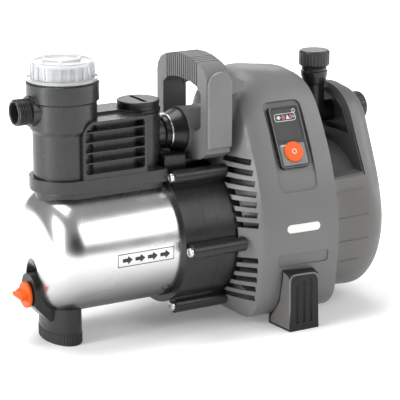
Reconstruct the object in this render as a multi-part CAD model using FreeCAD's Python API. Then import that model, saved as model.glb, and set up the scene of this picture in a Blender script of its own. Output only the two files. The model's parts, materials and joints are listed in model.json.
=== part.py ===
import FreeCAD, Part
import math
import os

V = FreeCAD.Vector

# Garden water pump: a horizontal multistage centrifugal pump with a mains motor.
# Frame: +X along the pump shaft from the suction side to the motor's fan side,
# +Z up, origin on the floor under the middle of the machine. Millimetres.

# ---- driving dimensions ------------------------------------------------------
AXIS_Z = 116.5            # height of the pump shaft
FILTER_X = -187.4         # vertical axis of the filter housing
WALL = 3.0                # moulded plastic wall
FIT = 0.3                 # gap kept between separate moving pieces
RUN = 0.05                # radial running fit of a shaft in its hole

# steel pump barrel
BARREL_R = 80.0
BARREL_WALL = 1.5
BARREL_FACE_X = -233.0
BARREL_EDGE_R = 36.0
BARREL_OPEN_X = -35.4
LIP_R = 86.0

# drain
DRAIN_Z = 63.3
DRAIN_HOLE_R = 9.0
DRAIN_FACE_X = -240.5
TONGUE_HALF_Y = 20.0

# G1 pipe thread used on the inlet and both outlets
G1_R = 16.62
G1_CORE_R = 15.15
G1_PITCH = 2.309
G1_BORE_R = 12.75

# inlet and filter
INLET_Z = 297.3
INLET_TIP_X = -254.2
SADDLE_TOP_Z = 212.5
SADDLE_LOW_Z = 195.3
SADDLE_R = 44.0
FILTER_LOW_R = 38.7
FILTER_MID_R = 42.3
FILTER_TOP_R = 45.4
FILTER_STEP_Z = 268.0
FILTER_FLOOR_Z = 217.0
FILTER_TOP_Z = 331.0
FILTER_BORE_R = 40.0
LID_R = 39.0
LID_TOP_Z = 358.0

# valve housing and fill plug
VALVE_X0 = -182.0
VALVE_X1 = -93.0
VALVE_TOP_Z = 280.3
VALVE_HALF_Y = 43.6
VALVE_BLOCK_Z = 284.5
VALVE_CORNER_R = 18.0
VALVE_NECK_HALF_Y = 25.0
LOUVRE_DEPTH = 14.0
LOUVRE_Z0 = 232.6
LOUVRE_PITCH = 13.0
LOUVRE_COUNT = 4
FILL_X = -82.7
FILL_R = 27.5
FILL_TOP_Z = 296.4

# delivery pipe
PIPE_Z = 249.4
PIPE_R = 14.0
TEE_X = 182.4
TOP_CAP_Z0 = 313.1
TOP_CAP_Z1 = 333.5
REAR_CAP_X0 = 236.6
CAP_R = 20.4
CAP_FLUTES = 26

# bolted flange stack
FLANGE_X0 = -63.4
FLANGE_X1 = -33.4
FLANGE_X2 = -15.4
FLANGE_X3 = 20.0
FLANGE_R = 89.0
BOLT_COUNT = 6
BOLT_PCD_R = 98.05
BOLT_TUBE_R = 9.2
BOLT_HEAD_R = 6.15
BOLT_R = 3.0
BOLT_TUBE_X0 = -60.0
BOLT_TUBE_X1 = 15.0

# pump stages
STAGES = 3
STAGE_X0 = -163.0
STAGE_PITCH = 30.0
DIFFUSER_R = 71.0
IMPELLER_R = 60.0
SHAFT_R = 8.0
BEARING_R = 20.0
BEARING_W = 12.0
BEARING_BORE_R = 8.5

# motor
STATOR_X0 = 45.0
STATOR_X1 = 125.0
STATOR_R = 60.0
ROTOR_R = 35.8
FAN_X0 = 160.0
FAN_X1 = 178.0
FAN_R = 74.0

# motor hood
HOOD_FRONT_X = 33.6
HOOD_REAR_X = 142.6
HOOD_MOUTH_X = 11.0
HOOD_MOUTH_R = 94.0
SLOT_H = 7.4
SLOT_REACH_Y = 44.0
SKIN_DENT = 1.6

# rear cover fittings
GLAND_Z = 58.0
GLAND_R = 9.0
COVER_SCREWS = [(-60.0, 150.0), (60.0, 150.0), (-56.0, 78.0), (56.0, 78.0)]

# handle
HANDLE_X0 = -19.4
HANDLE_X1 = 14.6
HANDLE_HALF_Y = 68.0
HANDLE_LEG_T = 15.0
HANDLE_COVER_T = 4.5
GRIP_TOP_Z = 348.3

# control panel on the slanted side of the hood
PANEL_X = 88.0
PANEL_Y = -88.5
PANEL_Z = 245.5
PANEL_TILT = 26.5
PANEL_W = 45.0
PANEL_H = 82.0
WINDOW_W = 38.0
WINDOW_H = 42.8
WINDOW_V = 15.6
BUTTON_R = 13.3
BUTTON_V = -20.5

# feet
FOOT_Y = 134.0
FRONT_FOOT_X = -197.4
FRONT_FOOT_HALF_X = 22.6
FRONT_FOOT_HALF_Y = 41.9

NODES = {}


# ---- geometry helpers --------------------------------------------------------
def cyl_x(x0, x1, r, y=0.0, z=AXIS_Z):
    return Part.makeCylinder(r, x1 - x0, V(x0, y, z), V(1, 0, 0))


def cyl_y(y0, y1, r, x, z):
    return Part.makeCylinder(r, y1 - y0, V(x, y0, z), V(0, 1, 0))


def cyl_z(z0, z1, r, x, y=0.0):
    return Part.makeCylinder(r, z1 - z0, V(x, y, z0), V(0, 0, 1))


def tube_x(x0, x1, r_out, r_in, y=0.0, z=AXIS_Z):
    return cyl_x(x0, x1, r_out, y, z).cut(cyl_x(x0 - 1, x1 + 1, r_in, y, z))


def tube_z(z0, z1, r_out, r_in, x, y=0.0):
    return cyl_z(z0, z1, r_out, x, y).cut(cyl_z(z0 - 1, z1 + 1, r_in, x, y))


def box(x0, x1, y0, y1, z0, z1):
    return Part.makeBox(x1 - x0, y1 - y0, z1 - z0, V(x0, y0, z0))


def spin(points, origin, along):
    """Solid of revolution of a closed (station, radius) outline about an axis."""
    side = V(0, 0, 1) if abs(along.z) < 0.5 else V(1, 0, 0)
    pts = [origin + along * s + side * r for s, r in points]
    face = Part.Face(Part.makePolygon(pts + [pts[0]]))
    return face.revolve(origin, along, 360)


def spin_x(points, y=0.0, z=AXIS_Z):
    return spin(points, V(0, y, z), V(1, 0, 0))


def spin_z(points, x, y=0.0):
    return spin([(z, r) for r, z in points], V(x, y, 0), V(0, 0, 1))


def prism(points, direction):
    """Straight extrusion of a closed polygon of 3-D points."""
    return Part.Face(Part.makePolygon(points + [points[0]])).extrude(direction)


def round_edges(solid, radius, keep):
    """Fillet the edges that keep() accepts, or return the solid as it was."""
    edges = [e for e in solid.Edges if keep(e)]
    try:
        return solid.makeFillet(radius, edges)
    except Exception:
        return solid


def vertical(edge):
    a, b = edge.Vertexes[0].Point, edge.Vertexes[-1].Point
    return abs((b - a).normalize().z) > 0.99 if (b - a).Length > 1e-6 else False


def along_x(edge):
    a, b = edge.Vertexes[0].Point, edge.Vertexes[-1].Point
    return abs((b - a).normalize().x) > 0.99 if (b - a).Length > 1e-6 else False


def along_y(edge):
    a, b = edge.Vertexes[0].Point, edge.Vertexes[-1].Point
    return abs((b - a).normalize().y) > 0.99 if (b - a).Length > 1e-6 else False


def thread_outline(start, end, crest, core, pitch):
    """(station, radius) pairs for annular ridges with narrow flat crests."""
    pts = []
    s = start
    while s + pitch <= end + 1e-6:
        pts += [(s, core), (s + 0.32 * pitch, crest), (s + 0.58 * pitch, crest)]
        s += pitch
    return pts + [(end, core)]


def mirrored(solid):
    return solid.mirror(V(0, 0, 0), V(0, 1, 0))


def section(x, half, inset=0.0):
    """Closed smooth outline across the machine from its +Y half, top to bottom."""
    pts = []
    for i, (y, z) in enumerate(half):
        if inset:
            y, z = offset_point(half, i, inset)
        pts.append(V(x, y, z))
    other = [V(x, -p.y, p.z) for p in reversed(pts[1:-1])]
    curve = Part.BSplineCurve()
    curve.interpolate(Points=pts + other, PeriodicFlag=True, Parameters=pace(len(half)))
    return Part.Wire(curve.toShape())


def pace(count):
    """Curve parameters shared by every section of one cover, so that a loft stays fair."""
    half = HOOD_MID if count == len(HOOD_MID) else REAR_B
    loop = half + [(-y, z) for y, z in reversed(half[1:-1])] + [half[0]]
    stops = [0.0]
    for (y0, z0), (y1, z1) in zip(loop, loop[1:]):
        stops.append(stops[-1] + math.hypot(y1 - y0, z1 - z0))
    return [s / stops[-1] for s in stops]


def offset_point(half, i, d):
    """Move one point of a half outline inwards by d, square to its neighbours."""
    y, z = half[i]
    before = half[i - 1] if i > 0 else (-half[1][0], half[1][1])
    after = half[i + 1] if i + 1 < len(half) else (-half[-2][0], half[-2][1])
    ty, tz = after[0] - before[0], after[1] - before[1]
    length = math.hypot(ty, tz)
    y, z = y + tz / length * d, z - ty / length * d
    return (0.0 if i in (0, len(half) - 1) else y), z


def skin(sections, inset=0.0, ruled=False):
    wires = [section(x, half, inset) for x, half in sections]
    return Part.makeLoft(wires, True, ruled)


# ---- outlines of the moulded covers ------------------------------------------
HOOD_FRONT = [(0, 299), (22, 298), (38, 294.5), (54, 284), (66, 264), (87, 229), (106, 184),
              (115, 137), (115, 103), (110, 68), (103, 34), (86, 13), (48, 7), (0, 6)]
HOOD_BROW = [(0, 319), (25, 315.5), (44, 305), (60, 288), (74, 265), (92, 229), (109, 184),
             (118, 137), (118, 103), (113, 68), (106, 34), (88, 13), (50, 7), (0, 6)]
HOOD_MID = [(0, 323.4), (27, 320), (48, 309), (64, 291), (79, 266), (97, 228), (113, 183),
            (121.5, 137), (121.5, 103), (117, 68), (109, 34), (90, 14), (50, 8), (0, 7)]
HOOD_AFT = [(0, 319), (26, 316), (48, 305), (64, 288), (79, 263), (97, 227), (113, 184),
            (122.5, 137), (122.5, 103), (118.5, 66), (111, 33), (91, 14), (50, 8), (0, 7)]
HOOD_BACK = [(0, 310), (24, 307), (47, 297), (63, 282), (78, 259), (96, 225), (112, 184),
             (122.5, 137), (123.5, 103), (119.5, 63), (112, 32), (92, 14), (50, 9), (0, 8)]
HOOD = [(HOOD_FRONT_X, HOOD_FRONT), (46.0, HOOD_BROW), (84.0, HOOD_MID), (118.0, HOOD_AFT),
        (HOOD_REAR_X, HOOD_BACK)]

REAR_A = [(0, 289), (34, 282), (55, 268), (73, 240), (90, 208), (106, 180), (114, 146),
          (116, 119), (114, 92), (106, 64), (91, 41), (54, 22), (0, 14)]
REAR_B = [(0, 289.5), (33, 282.5), (53, 268), (69, 240), (85, 208), (99, 180), (110, 146),
          (113, 119), (111, 92), (102, 64), (86, 40), (50, 20), (0, 13)]
REAR_C = [(0, 285), (27, 280.5), (46, 267), (62, 240), (77, 208), (90, 180), (101, 146),
          (105, 119), (102, 92), (91, 62), (72, 38), (42, 20), (0, 14)]
REAR_D = [(0, 271), (22, 267.5), (38, 256), (51, 232), (63, 204), (73, 178), (82, 146),
          (85, 119), (82, 92), (72, 66), (56, 46), (32, 31), (0, 25)]
REAR = [(144.6, REAR_A), (197.6, REAR_B), (222.0, REAR_C), (235.0, REAR_D)]


# ---- pump end ----------------------------------------------------------------
def barrel_outline(grow):
    """Half outline of the deep-drawn can, grown by grow, with a rounded far edge."""
    r = BARREL_R + grow
    x0 = BARREL_FACE_X - grow
    c = BARREL_EDGE_R + grow
    pts = [(x0 - 1.5, 0.0), (x0 - 0.9, 0.45 * r)]
    for k in range(13):
        a = math.radians(7.5 * k)
        pts.append((x0 + c - c * math.cos(a), r - c + c * math.sin(a)))
    return pts


def barrel_body(grow, end_x):
    pts = barrel_outline(grow)
    return spin_x(pts + [(end_x, BARREL_R + grow), (end_x, 0.0)])


def scoop(grow):
    """Pressed hollow in the end face above the drain boss."""
    start = V(BARREL_FACE_X - 22, 1.0, AXIS_Z - 13.0)
    return Part.makeCylinder(19.5 + grow, 60.0, start, V(0.62, 0, -0.78))


def pump_barrel():
    outer = barrel_body(0.0, BARREL_OPEN_X).cut(scoop(0.0))
    inner = barrel_body(-BARREL_WALL, BARREL_OPEN_X + 5).cut(scoop(BARREL_WALL))
    lip = tube_x(BARREL_OPEN_X, FLANGE_X1, LIP_R, BARREL_R - BARREL_WALL)
    can = outer.cut(inner).fuse(lip)
    for x, r in ((FILTER_X, 19.0), (FILL_X, 15.0)):
        can = can.cut(cyl_z(AXIS_Z + 40, SADDLE_LOW_Z + 10, r, x))
    drain = cyl_x(BARREL_FACE_X - 10, BARREL_FACE_X + 30, DRAIN_HOLE_R + FIT, 0.0, DRAIN_Z)
    return can.cut(drain).removeSplitter()


def oval_prism(x, half_x, half_y, z0, z1):
    ellipse = Part.Ellipse(V(x, 0, z0), half_y, half_x)
    wire = Part.Wire(ellipse.toShape())
    wire.rotate(V(x, 0, z0), V(0, 0, 1), 90)
    return Part.Face(wire).extrude(V(0, 0, z1 - z0))


def front_foot():
    body = oval_prism(FRONT_FOOT_X, FRONT_FOOT_HALF_X, FRONT_FOOT_HALF_Y, 13.4, 62.0)
    core = oval_prism(FRONT_FOOT_X, FRONT_FOOT_HALF_X - 3.0, FRONT_FOOT_HALF_Y - 3.0, 2.0, 14.0)
    tongue = box(DRAIN_FACE_X, -196.0, -TONGUE_HALF_Y, TONGUE_HALF_Y, 30.0, 70.4)
    crown = cyl_x(DRAIN_FACE_X, -196.0, TONGUE_HALF_Y, 0.0, 70.4)
    wedge = prism([V(DRAIN_FACE_X - 1, -60, 20), V(DRAIN_FACE_X - 1, -60, 52),
                   V(-219.5, -60, 28.5), V(-219.5, -60, 20)], V(0, 120, 0))
    foot = body.fuse([core, tongue, crown]).cut(wedge)
    foot = foot.cut(barrel_body(0.2, 0.0).cut(scoop(-0.2)))
    drain = cyl_x(DRAIN_FACE_X - 1, -190.0, DRAIN_HOLE_R + FIT, 0.0, DRAIN_Z)
    return largest(foot.cut(drain))


def foot_sleeve():
    outer = oval_prism(FRONT_FOOT_X, FRONT_FOOT_HALF_X + 0.5, FRONT_FOOT_HALF_Y + 0.5, 0.0, 13.2)
    inner = oval_prism(FRONT_FOOT_X, FRONT_FOOT_HALF_X - 2.9, FRONT_FOOT_HALF_Y - 2.9, 1.9, 15.0)
    sleeve = outer.cut(inner)
    grooves = []
    for k in range(48):
        a = 2 * math.pi * k / 48
        x = FRONT_FOOT_X + (FRONT_FOOT_HALF_X + 0.9) * math.cos(a)
        y = (FRONT_FOOT_HALF_Y + 0.9) * math.sin(a)
        grooves.append(cyl_z(1.5, 14.0, 1.1, x, y))
    return sleeve.cut(Part.makeCompound(grooves))


def drain_seal():
    return tube_x(DRAIN_FACE_X - 1.8, DRAIN_FACE_X - 0.1, 14.5, 9.4, 0.0, DRAIN_Z)


def drain_plug():
    back = DRAIN_FACE_X - 1.9
    disc = cyl_x(back - 4.2, back, 16.6, 0.0, DRAIN_Z)
    disc = round_edges(disc, 1.2, lambda e: e.BoundBox.XMax < back - 1)
    ridges = thread_outline(back, back + 14.0, DRAIN_HOLE_R, DRAIN_HOLE_R - 1.0, 1.814)
    shank = spin_x([(back - 1, 0.0), (back - 1, DRAIN_HOLE_R - 1.0)] + ridges
                   + [(back + 14.0, 0.0)], 0.0, DRAIN_Z)
    bar = box(-257.0, back - 3.0, -13.3, 13.3, DRAIN_Z - 2.8, DRAIN_Z + 2.8)
    bar = round_edges(bar, 2.2, lambda e: e.BoundBox.XMax < -256.0)
    root = prism([V(back - 4.0, -14.5, DRAIN_Z - 6), V(back - 4.0, -14.5, DRAIN_Z + 6),
                  V(back - 9.5, -14.5, DRAIN_Z + 2.5), V(back - 9.5, -14.5, DRAIN_Z - 2.5)],
                 V(0, 29, 0))
    return disc.fuse([shank, bar, root]).removeSplitter()


def saddle_plan(r, x_end, z0, z1):
    slab = box(FILTER_X, x_end, -r, r, z0, z1)
    return slab.fuse(cyl_z(z0, z1, r, FILTER_X)).removeSplitter()


def saddle_base():
    top = saddle_plan(SADDLE_R, FLANGE_X0 - 1.5, SADDLE_LOW_Z, SADDLE_TOP_Z)
    top = round_edges(top, 2.0, lambda e: abs(e.BoundBox.ZMax - e.BoundBox.ZMin) < 0.1
                      and e.BoundBox.ZMax < SADDLE_LOW_Z + 1)
    neck = saddle_plan(SADDLE_R - 7.0, FLANGE_X0 - 4.0, 160.0, SADDLE_LOW_Z + 1)
    body = top.fuse(neck).cut(barrel_body(0.2, 0.0))
    body = body.cut(cyl_z(150, SADDLE_TOP_Z + 1, 19.0, FILTER_X))
    body = body.cut(cyl_z(150, SADDLE_TOP_Z + 1, 15.0, FILL_X))
    body = body.cut(cyl_z(SADDLE_TOP_Z - 5.0, SADDLE_TOP_Z + 1, 24.2, FILTER_X))
    return largest(body)


def largest(shape):
    """The biggest solid of a cut, without offcuts."""
    return max(shape.Solids, key=lambda s: s.Volume)


def filter_housing():
    top = FILTER_TOP_Z
    outline = [(21.0, SADDLE_TOP_Z), (FILTER_LOW_R, SADDLE_TOP_Z), (FILTER_LOW_R, FILTER_STEP_Z),
               (FILTER_MID_R, 273.5), (FILTER_MID_R, 306.0), (FILTER_TOP_R, 308.5),
               (FILTER_TOP_R, top - 1.2), (FILTER_TOP_R - 1.2, top), (FILTER_BORE_R, top),
               (FILTER_BORE_R, 312.0), (37.0, 308.0), (37.0, 276.0), (35.0, 272.0),
               (35.0, FILTER_FLOOR_Z), (21.0, FILTER_FLOOR_Z)]
    body = spin_z(outline, FILTER_X)
    boss = cyl_x(FILTER_X - 47.5, FILTER_X - 37.0, 19.0, 0.0, INLET_Z)
    body = body.fuse(boss).cut(cyl_x(FILTER_X - 60, FILTER_X - 30, 15.2, 0.0, INLET_Z))
    return body.removeSplitter()


def inlet_fitting():
    tip, root = INLET_TIP_X, FILTER_X - 47.6
    ridges = thread_outline(tip + 1.6, root - 1.2, G1_R, G1_CORE_R, G1_PITCH)
    outline = [(tip, G1_BORE_R + 1.2), (tip, G1_CORE_R - 0.6), (tip + 0.6, G1_CORE_R)]
    outline += ridges
    outline += [(root, G1_CORE_R), (FILTER_X - 37.4, G1_CORE_R), (FILTER_X - 37.4, G1_BORE_R),
                (tip + 1.2, G1_BORE_R)]
    return spin_x(outline, 0.0, INLET_Z)


def filter_insert():
    x = FILTER_X
    z0 = FILTER_FLOOR_Z + 0.1
    basket = tube_z(z0 + 2.0, 340.0, 30.0, 27.8, x)
    slots = []
    for row in range(6):
        for k in range(12):
            slot = box(x + 24, x + 34, -4.6, 4.6, 232 + 15 * row, 243 + 15 * row)
            slot.rotate(V(x, 0, 0), V(0, 0, 1), 30 * k)
            slots.append(slot)
    basket = basket.cut(Part.makeCompound(slots))
    top = tube_z(338.0, 341.5, 33.0, 27.8, x)
    floor = tube_z(z0, z0 + 3.0, 32.0, 21.5, x)
    bar = box(x - 27.9, x + 27.9, -3.5, 3.5, 339.0, 348.0)
    return basket.fuse([top, floor, bar]).removeSplitter()


def lid_seal():
    return tube_z(FILTER_TOP_Z + 0.1, FILTER_TOP_Z + 1.6, 43.6, 39.8, FILTER_X)


def filter_lid():
    z0 = FILTER_TOP_Z + 1.7
    core = FILTER_BORE_R - 1.5
    ridges = [(r, z) for z, r in thread_outline(z0 - 12.5, z0, FILTER_BORE_R - 0.4, core, 4.0)]
    outline = [(35.6, 319.0), (core - 0.4, 319.0)] + ridges + [(44.2, z0), (44.2, z0 + 3.3)]
    outline += [(LID_R + 0.6, z0 + 4.3), (LID_R, z0 + 6.0), (LID_R, LID_TOP_Z - 5.0),
                (LID_R - 1.4, LID_TOP_Z - 2.2), (LID_R - 4.5, LID_TOP_Z - 1.0),
                (0.0, LID_TOP_Z), (0.0, LID_TOP_Z - 3.0), (LID_R - 5.5, LID_TOP_Z - 4.0),
                (35.6, LID_TOP_Z - 6.5)]
    lid = spin_z(outline, FILTER_X)
    ribs = []
    for k in range(24):
        rib = box(FILTER_X + LID_R - 1.0, FILTER_X + LID_R + 1.6, -1.6, 1.6, z0 + 3.0, LID_TOP_Z - 5.0)
        rib.rotate(V(FILTER_X, 0, 0), V(0, 0, 1), 15 * k)
        ribs.append(rib)
    crown = [V(FILTER_X + 27 * math.cos(math.radians(60 * k)),
               27 * math.sin(math.radians(60 * k)), LID_TOP_Z - 2.5) for k in range(6)]
    hexagon = prism(crown, V(0, 0, 5.5))
    hollow = [V(p.x * 1.0 + (FILTER_X - p.x) * 0.14, p.y * 0.86, LID_TOP_Z + 0.6) for p in crown]
    return lid.fuse(ribs).fuse(hexagon).cut(prism(hollow, V(0, 0, 5))).removeSplitter()


def check_valve_seat():
    return spin_z([(19.4, SADDLE_TOP_Z - 4.9), (24.0, SADDLE_TOP_Z - 4.9), (24.0, SADDLE_TOP_Z - 0.1),
                   (11.0, SADDLE_TOP_Z - 0.1), (11.0, SADDLE_TOP_Z - 2.5), (14.0, SADDLE_TOP_Z - 4.9)],
                  FILTER_X).fuse(seat_guide()).removeSplitter()


def seat_guide():
    """Spider under the seat that carries the poppet's stem."""
    z0 = SADDLE_TOP_Z - 26.0
    hub = tube_z(z0, z0 + 6.0, 5.0, 3.0 + RUN, FILTER_X)
    arms = []
    for k in range(3):
        arm = box(FILTER_X + 4.4, FILTER_X + 18.4, -1.5, 1.5, z0, z0 + 4.0)
        leg = box(FILTER_X + 16.0, FILTER_X + 18.4, -1.5, 1.5, z0, SADDLE_TOP_Z - 2.6)
        both = arm.fuse(leg)
        both.rotate(V(FILTER_X, 0, 0), V(0, 0, 1), 120 * k)
        arms.append(both)
    ring = tube_z(SADDLE_TOP_Z - 5.2, SADDLE_TOP_Z - 2.6, 18.6, 14.4, FILTER_X)
    return hub.fuse(arms).fuse(ring)


def check_valve_poppet():
    z = SADDLE_TOP_Z - 5.3
    head = cyl_z(z - 3.0, z, 13.0, FILTER_X)
    stem = cyl_z(z - 27.0, z - 2.0, 3.0, FILTER_X)
    return head.fuse(stem).removeSplitter()


def check_valve_spring():
    z0, z1 = SADDLE_TOP_Z - 19.8, SADDLE_TOP_Z - 8.5
    rings = [Part.makeTorus(5.4, 0.6, V(FILTER_X, 0, z0 + 0.6 + k * 2.5), V(0, 0, 1)) for k in range(5)]
    post = box(FILTER_X + 4.9, FILTER_X + 5.9, -0.5, 0.5, z0 + 0.3, z1)
    return rings[0].fuse(rings[1:]).fuse(post)


def filter_room(z0, z1):
    """Room for the filter housing, wider above its shoulder."""
    low = cyl_z(z0, z1, FILTER_LOW_R + 0.2, FILTER_X)
    return low.fuse(cyl_z(FILTER_STEP_Z - 0.2, z1, FILTER_MID_R + 0.2, FILTER_X))


def louvre_pocket(y0, y1):
    """Rounded recess on one side of the valve housing, cut between y0 and y1."""
    x0, x1, z0, z1 = VALVE_X0 + 3.5, VALVE_X1 - 3.5, 219.0, VALVE_BLOCK_Z - 3.5
    r = VALVE_CORNER_R - 4.0
    pocket = round_edges(box(x0, x1, y0, y1, z0, z1), 4.0, along_y)
    corner = box(x0 - 1, x0 + r, y0 - 1, y1 + 1, z1 - r, z1 + 1)
    return pocket.cut(corner.cut(cyl_y(y0 - 2, y1 + 2, r, x0 + r, z1 - r)))


def valve_housing():
    z0, z1, block_z = SADDLE_TOP_Z, VALVE_TOP_Z, VALVE_BLOCK_Z
    r = VALVE_CORNER_R
    room = filter_room(z0 - 1, FILTER_TOP_Z)
    block = box(VALVE_X0, VALVE_X1, -VALVE_HALF_Y, VALVE_HALF_Y, z0, block_z)
    corner = box(VALVE_X0 - 1, VALVE_X0 + r, -60, 60, block_z - r, block_z + 1)
    block = block.cut(corner.cut(cyl_y(-61, 61, r, VALVE_X0 + r, block_z - r)))
    block = block.cut(cyl_z(z1 + 1.0, block_z + 1, FILL_R + 1.2, FILL_X))
    neck = box(VALVE_X1 - 1, FILL_X, -VALVE_NECK_HALF_Y, VALVE_NECK_HALF_Y, z0, z1)
    tower = cyl_z(z0, z1 + 1.0, FILL_R, FILL_X)
    spine = box(FILTER_X + 30, FILL_X - 29.5, -9.5, 4.5, z1 - 4, z1 + 7.5)
    stub = cyl_x(FILL_X, -52.0, 18.0, 0.0, PIPE_Z)
    body = block.fuse([neck, tower, spine, stub]).cut(room)
    chamber = box(FILTER_X + 48, FILL_X, -22.0, 22.0, z0 + 3.0, z1 - 6)
    body = body.cut(chamber).cut(cyl_z(z0 + 3.0, z1 - 10, 21.0, FILL_X))
    body = body.cut(cyl_z(z0 - 1, z0 + 4.0, 15.0, FILL_X))
    body = body.cut(cyl_z(z1 - 20, z1 + 20, 20.0, FILL_X))
    body = body.cut(cyl_x(FILL_X, -40.0, 12.5, 0.0, PIPE_Z))
    for side in (-1, 1):
        y0, y1 = sorted((side * 60.0, side * (VALVE_HALF_Y - LOUVRE_DEPTH)))
        body = body.cut(louvre_pocket(y0, y1))
        y0, y1 = sorted((side * (VALVE_HALF_Y - 0.3), side * (VALVE_HALF_Y - LOUVRE_DEPTH - 0.5)))
        for k in range(LOUVRE_COUNT):
            z = LOUVRE_Z0 + LOUVRE_PITCH * k
            rib = box(VALVE_X0 + 3, VALVE_X1 - 3, y0, y1, z - 0.9, z + 0.9)
            body = body.fuse(rib.common(block).cut(room))
    return largest(body.removeSplitter())


def fill_plug_seal():
    return tube_z(VALVE_TOP_Z + 1.1, VALVE_TOP_Z + 2.6, 25.5, 20.2, FILL_X)


def fill_plug():
    z0 = VALVE_TOP_Z + 2.7
    ridges = [(r, z) for z, r in thread_outline(z0 - 14.0, z0, 19.6, 18.4, 3.0)]
    outline = [(0.0, z0 - 14.0), (18.0, z0 - 14.0)] + ridges
    outline += [(28.0, z0), (28.0, z0 + 2.6), (26.4, z0 + 3.4), (26.4, z0 + 8.4), (27.0, z0 + 9.2),
                (27.0, FILL_TOP_Z - 0.9), (26.1, FILL_TOP_Z), (0.0, FILL_TOP_Z)]
    plug = spin_z(outline, FILL_X)
    slot = box(FILL_X - 2.8, FILL_X + 2.8, -20.5, 20.5, FILL_TOP_Z - 5.0, FILL_TOP_Z + 1)
    return plug.cut(slot)


# ---- delivery side -----------------------------------------------------------
def outlet_union():
    outline = [(-51.5, 18.2), (-51.5, 21.0), (-46.0, 22.0), (-46.0, 20.0), (-43.4, 20.0),
               (-43.4, 23.0), (-41.0, 24.0), (-28.5, 29.5), (-25.5, 29.5), (-25.5, 14.4),
               (-40.0, 14.4), (-40.0, 18.2)]
    return spin_x(outline, 0.0, PIPE_Z)


def union_ring():
    return spin_x([(-45.8, 20.2), (-45.8, 24.2), (-45.0, 24.8), (-44.2, 24.8), (-43.6, 24.2),
                   (-43.6, 20.2)], 0.0, PIPE_Z)


def outlet_manifold():
    end_x = REAR_CAP_X0 + 16.0
    top_z = TOP_CAP_Z0 + 16.0
    run = cyl_x(-39.5, REAR_CAP_X0 - 4.0, PIPE_R, 0.0, PIPE_Z)
    riser = cyl_z(PIPE_Z, 290.0, PIPE_R, TEE_X)
    seat = spin_z([(0.0, 288.0), (PIPE_R, 288.0), (PIPE_R + 0.6, 289.0), (17.8, 301.0), (17.8, 306.0),
                   (16.6, 307.0), (16.6, 310.0), (G1_CORE_R, 311.0), (0.0, 311.0)], TEE_X)
    top_thread = [(r, z) for z, r in thread_outline(310.5, top_z, G1_R, G1_CORE_R, G1_PITCH)]
    top_end = spin_z([(0.0, 310.5)] + top_thread + [(0.0, top_z)], TEE_X)
    rear_thread = thread_outline(REAR_CAP_X0 - 2.0, end_x, G1_R, G1_CORE_R, G1_PITCH)
    rear_end = spin_x([(REAR_CAP_X0 - 4.5, 0.0), (REAR_CAP_X0 - 4.5, G1_CORE_R)] + rear_thread
                      + [(end_x, 0.0)], 0.0, PIPE_Z)
    collar = cyl_x(222.0, REAR_CAP_X0 - 4.0, 17.0, 0.0, PIPE_Z)
    body = run.fuse([riser, seat, top_end, rear_end, collar])
    body = body.cut(cyl_x(-60, end_x + 1, 11.0, 0.0, PIPE_Z))
    body = body.cut(cyl_z(PIPE_Z, top_z + 1, 11.0, TEE_X))
    return body.removeSplitter()


def flutes_z(z0, z1, x):
    cutters = []
    for k in range(CAP_FLUTES):
        a = 2 * math.pi * k / CAP_FLUTES
        cutters.append(cyl_z(z0, z1, 1.45, x + (CAP_R + 0.5) * math.cos(a), (CAP_R + 0.5) * math.sin(a)))
    return Part.makeCompound(cutters)


def screw_cap_z(x, z0, z1):
    """Fluted blanking cap with its closed end up, axis vertical."""
    outline = [(17.2, z0), (19.2, z0), (CAP_R, z0 + 1.8), (CAP_R, z1 - 2.4), (18.6, z1),
               (0.0, z1), (0.0, z1 - 2.6), (17.2, z1 - 2.6)]
    return spin_z(outline, x).cut(flutes_z(z0 + 2.0, z1 + 1, x))


def rear_frame(solid):
    """Turn a piece modelled on the top outlet onto the rear outlet."""
    moved = solid.copy()
    moved.translate(V(-TEE_X, 0, -TOP_CAP_Z0))
    moved.rotate(V(0, 0, 0), V(0, 1, 0), 90)
    moved.translate(V(REAR_CAP_X0, 0, PIPE_Z))
    return moved


def top_outlet_cap():
    return screw_cap_z(TEE_X, TOP_CAP_Z0, TOP_CAP_Z1)


def outlet_seal():
    return tube_z(TOP_CAP_Z0 + 16.1, TOP_CAP_Z0 + 17.6, 16.2, 9.5, TEE_X)


# ---- bolted flange stack -----------------------------------------------------
BOLT_CIRCLE = [(BOLT_PCD_R * math.cos(math.radians(60 * k)),
                AXIS_Z + BOLT_PCD_R * math.sin(math.radians(60 * k))) for k in range(BOLT_COUNT)]


def bolt_lugs(x0, x1):
    """Round bolt lugs with webs that tie them to the ring."""
    lugs = []
    for k in range(BOLT_COUNT):
        lug = cyl_x(x0, x1, BOLT_TUBE_R, BOLT_PCD_R, AXIS_Z)
        web = box(x0, x1, 84.0, BOLT_PCD_R, AXIS_Z - 7.5, AXIS_Z + 7.5)
        both = lug.fuse(web)
        both.rotate(V(0, 0, AXIS_Z), V(1, 0, 0), 60 * k)
        lugs.append(both)
    return lugs


def bolt_holes(x0, x1):
    return Part.makeCompound([cyl_x(x0, x1, BOLT_R + 0.2, y, z) for y, z in BOLT_CIRCLE])


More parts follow.
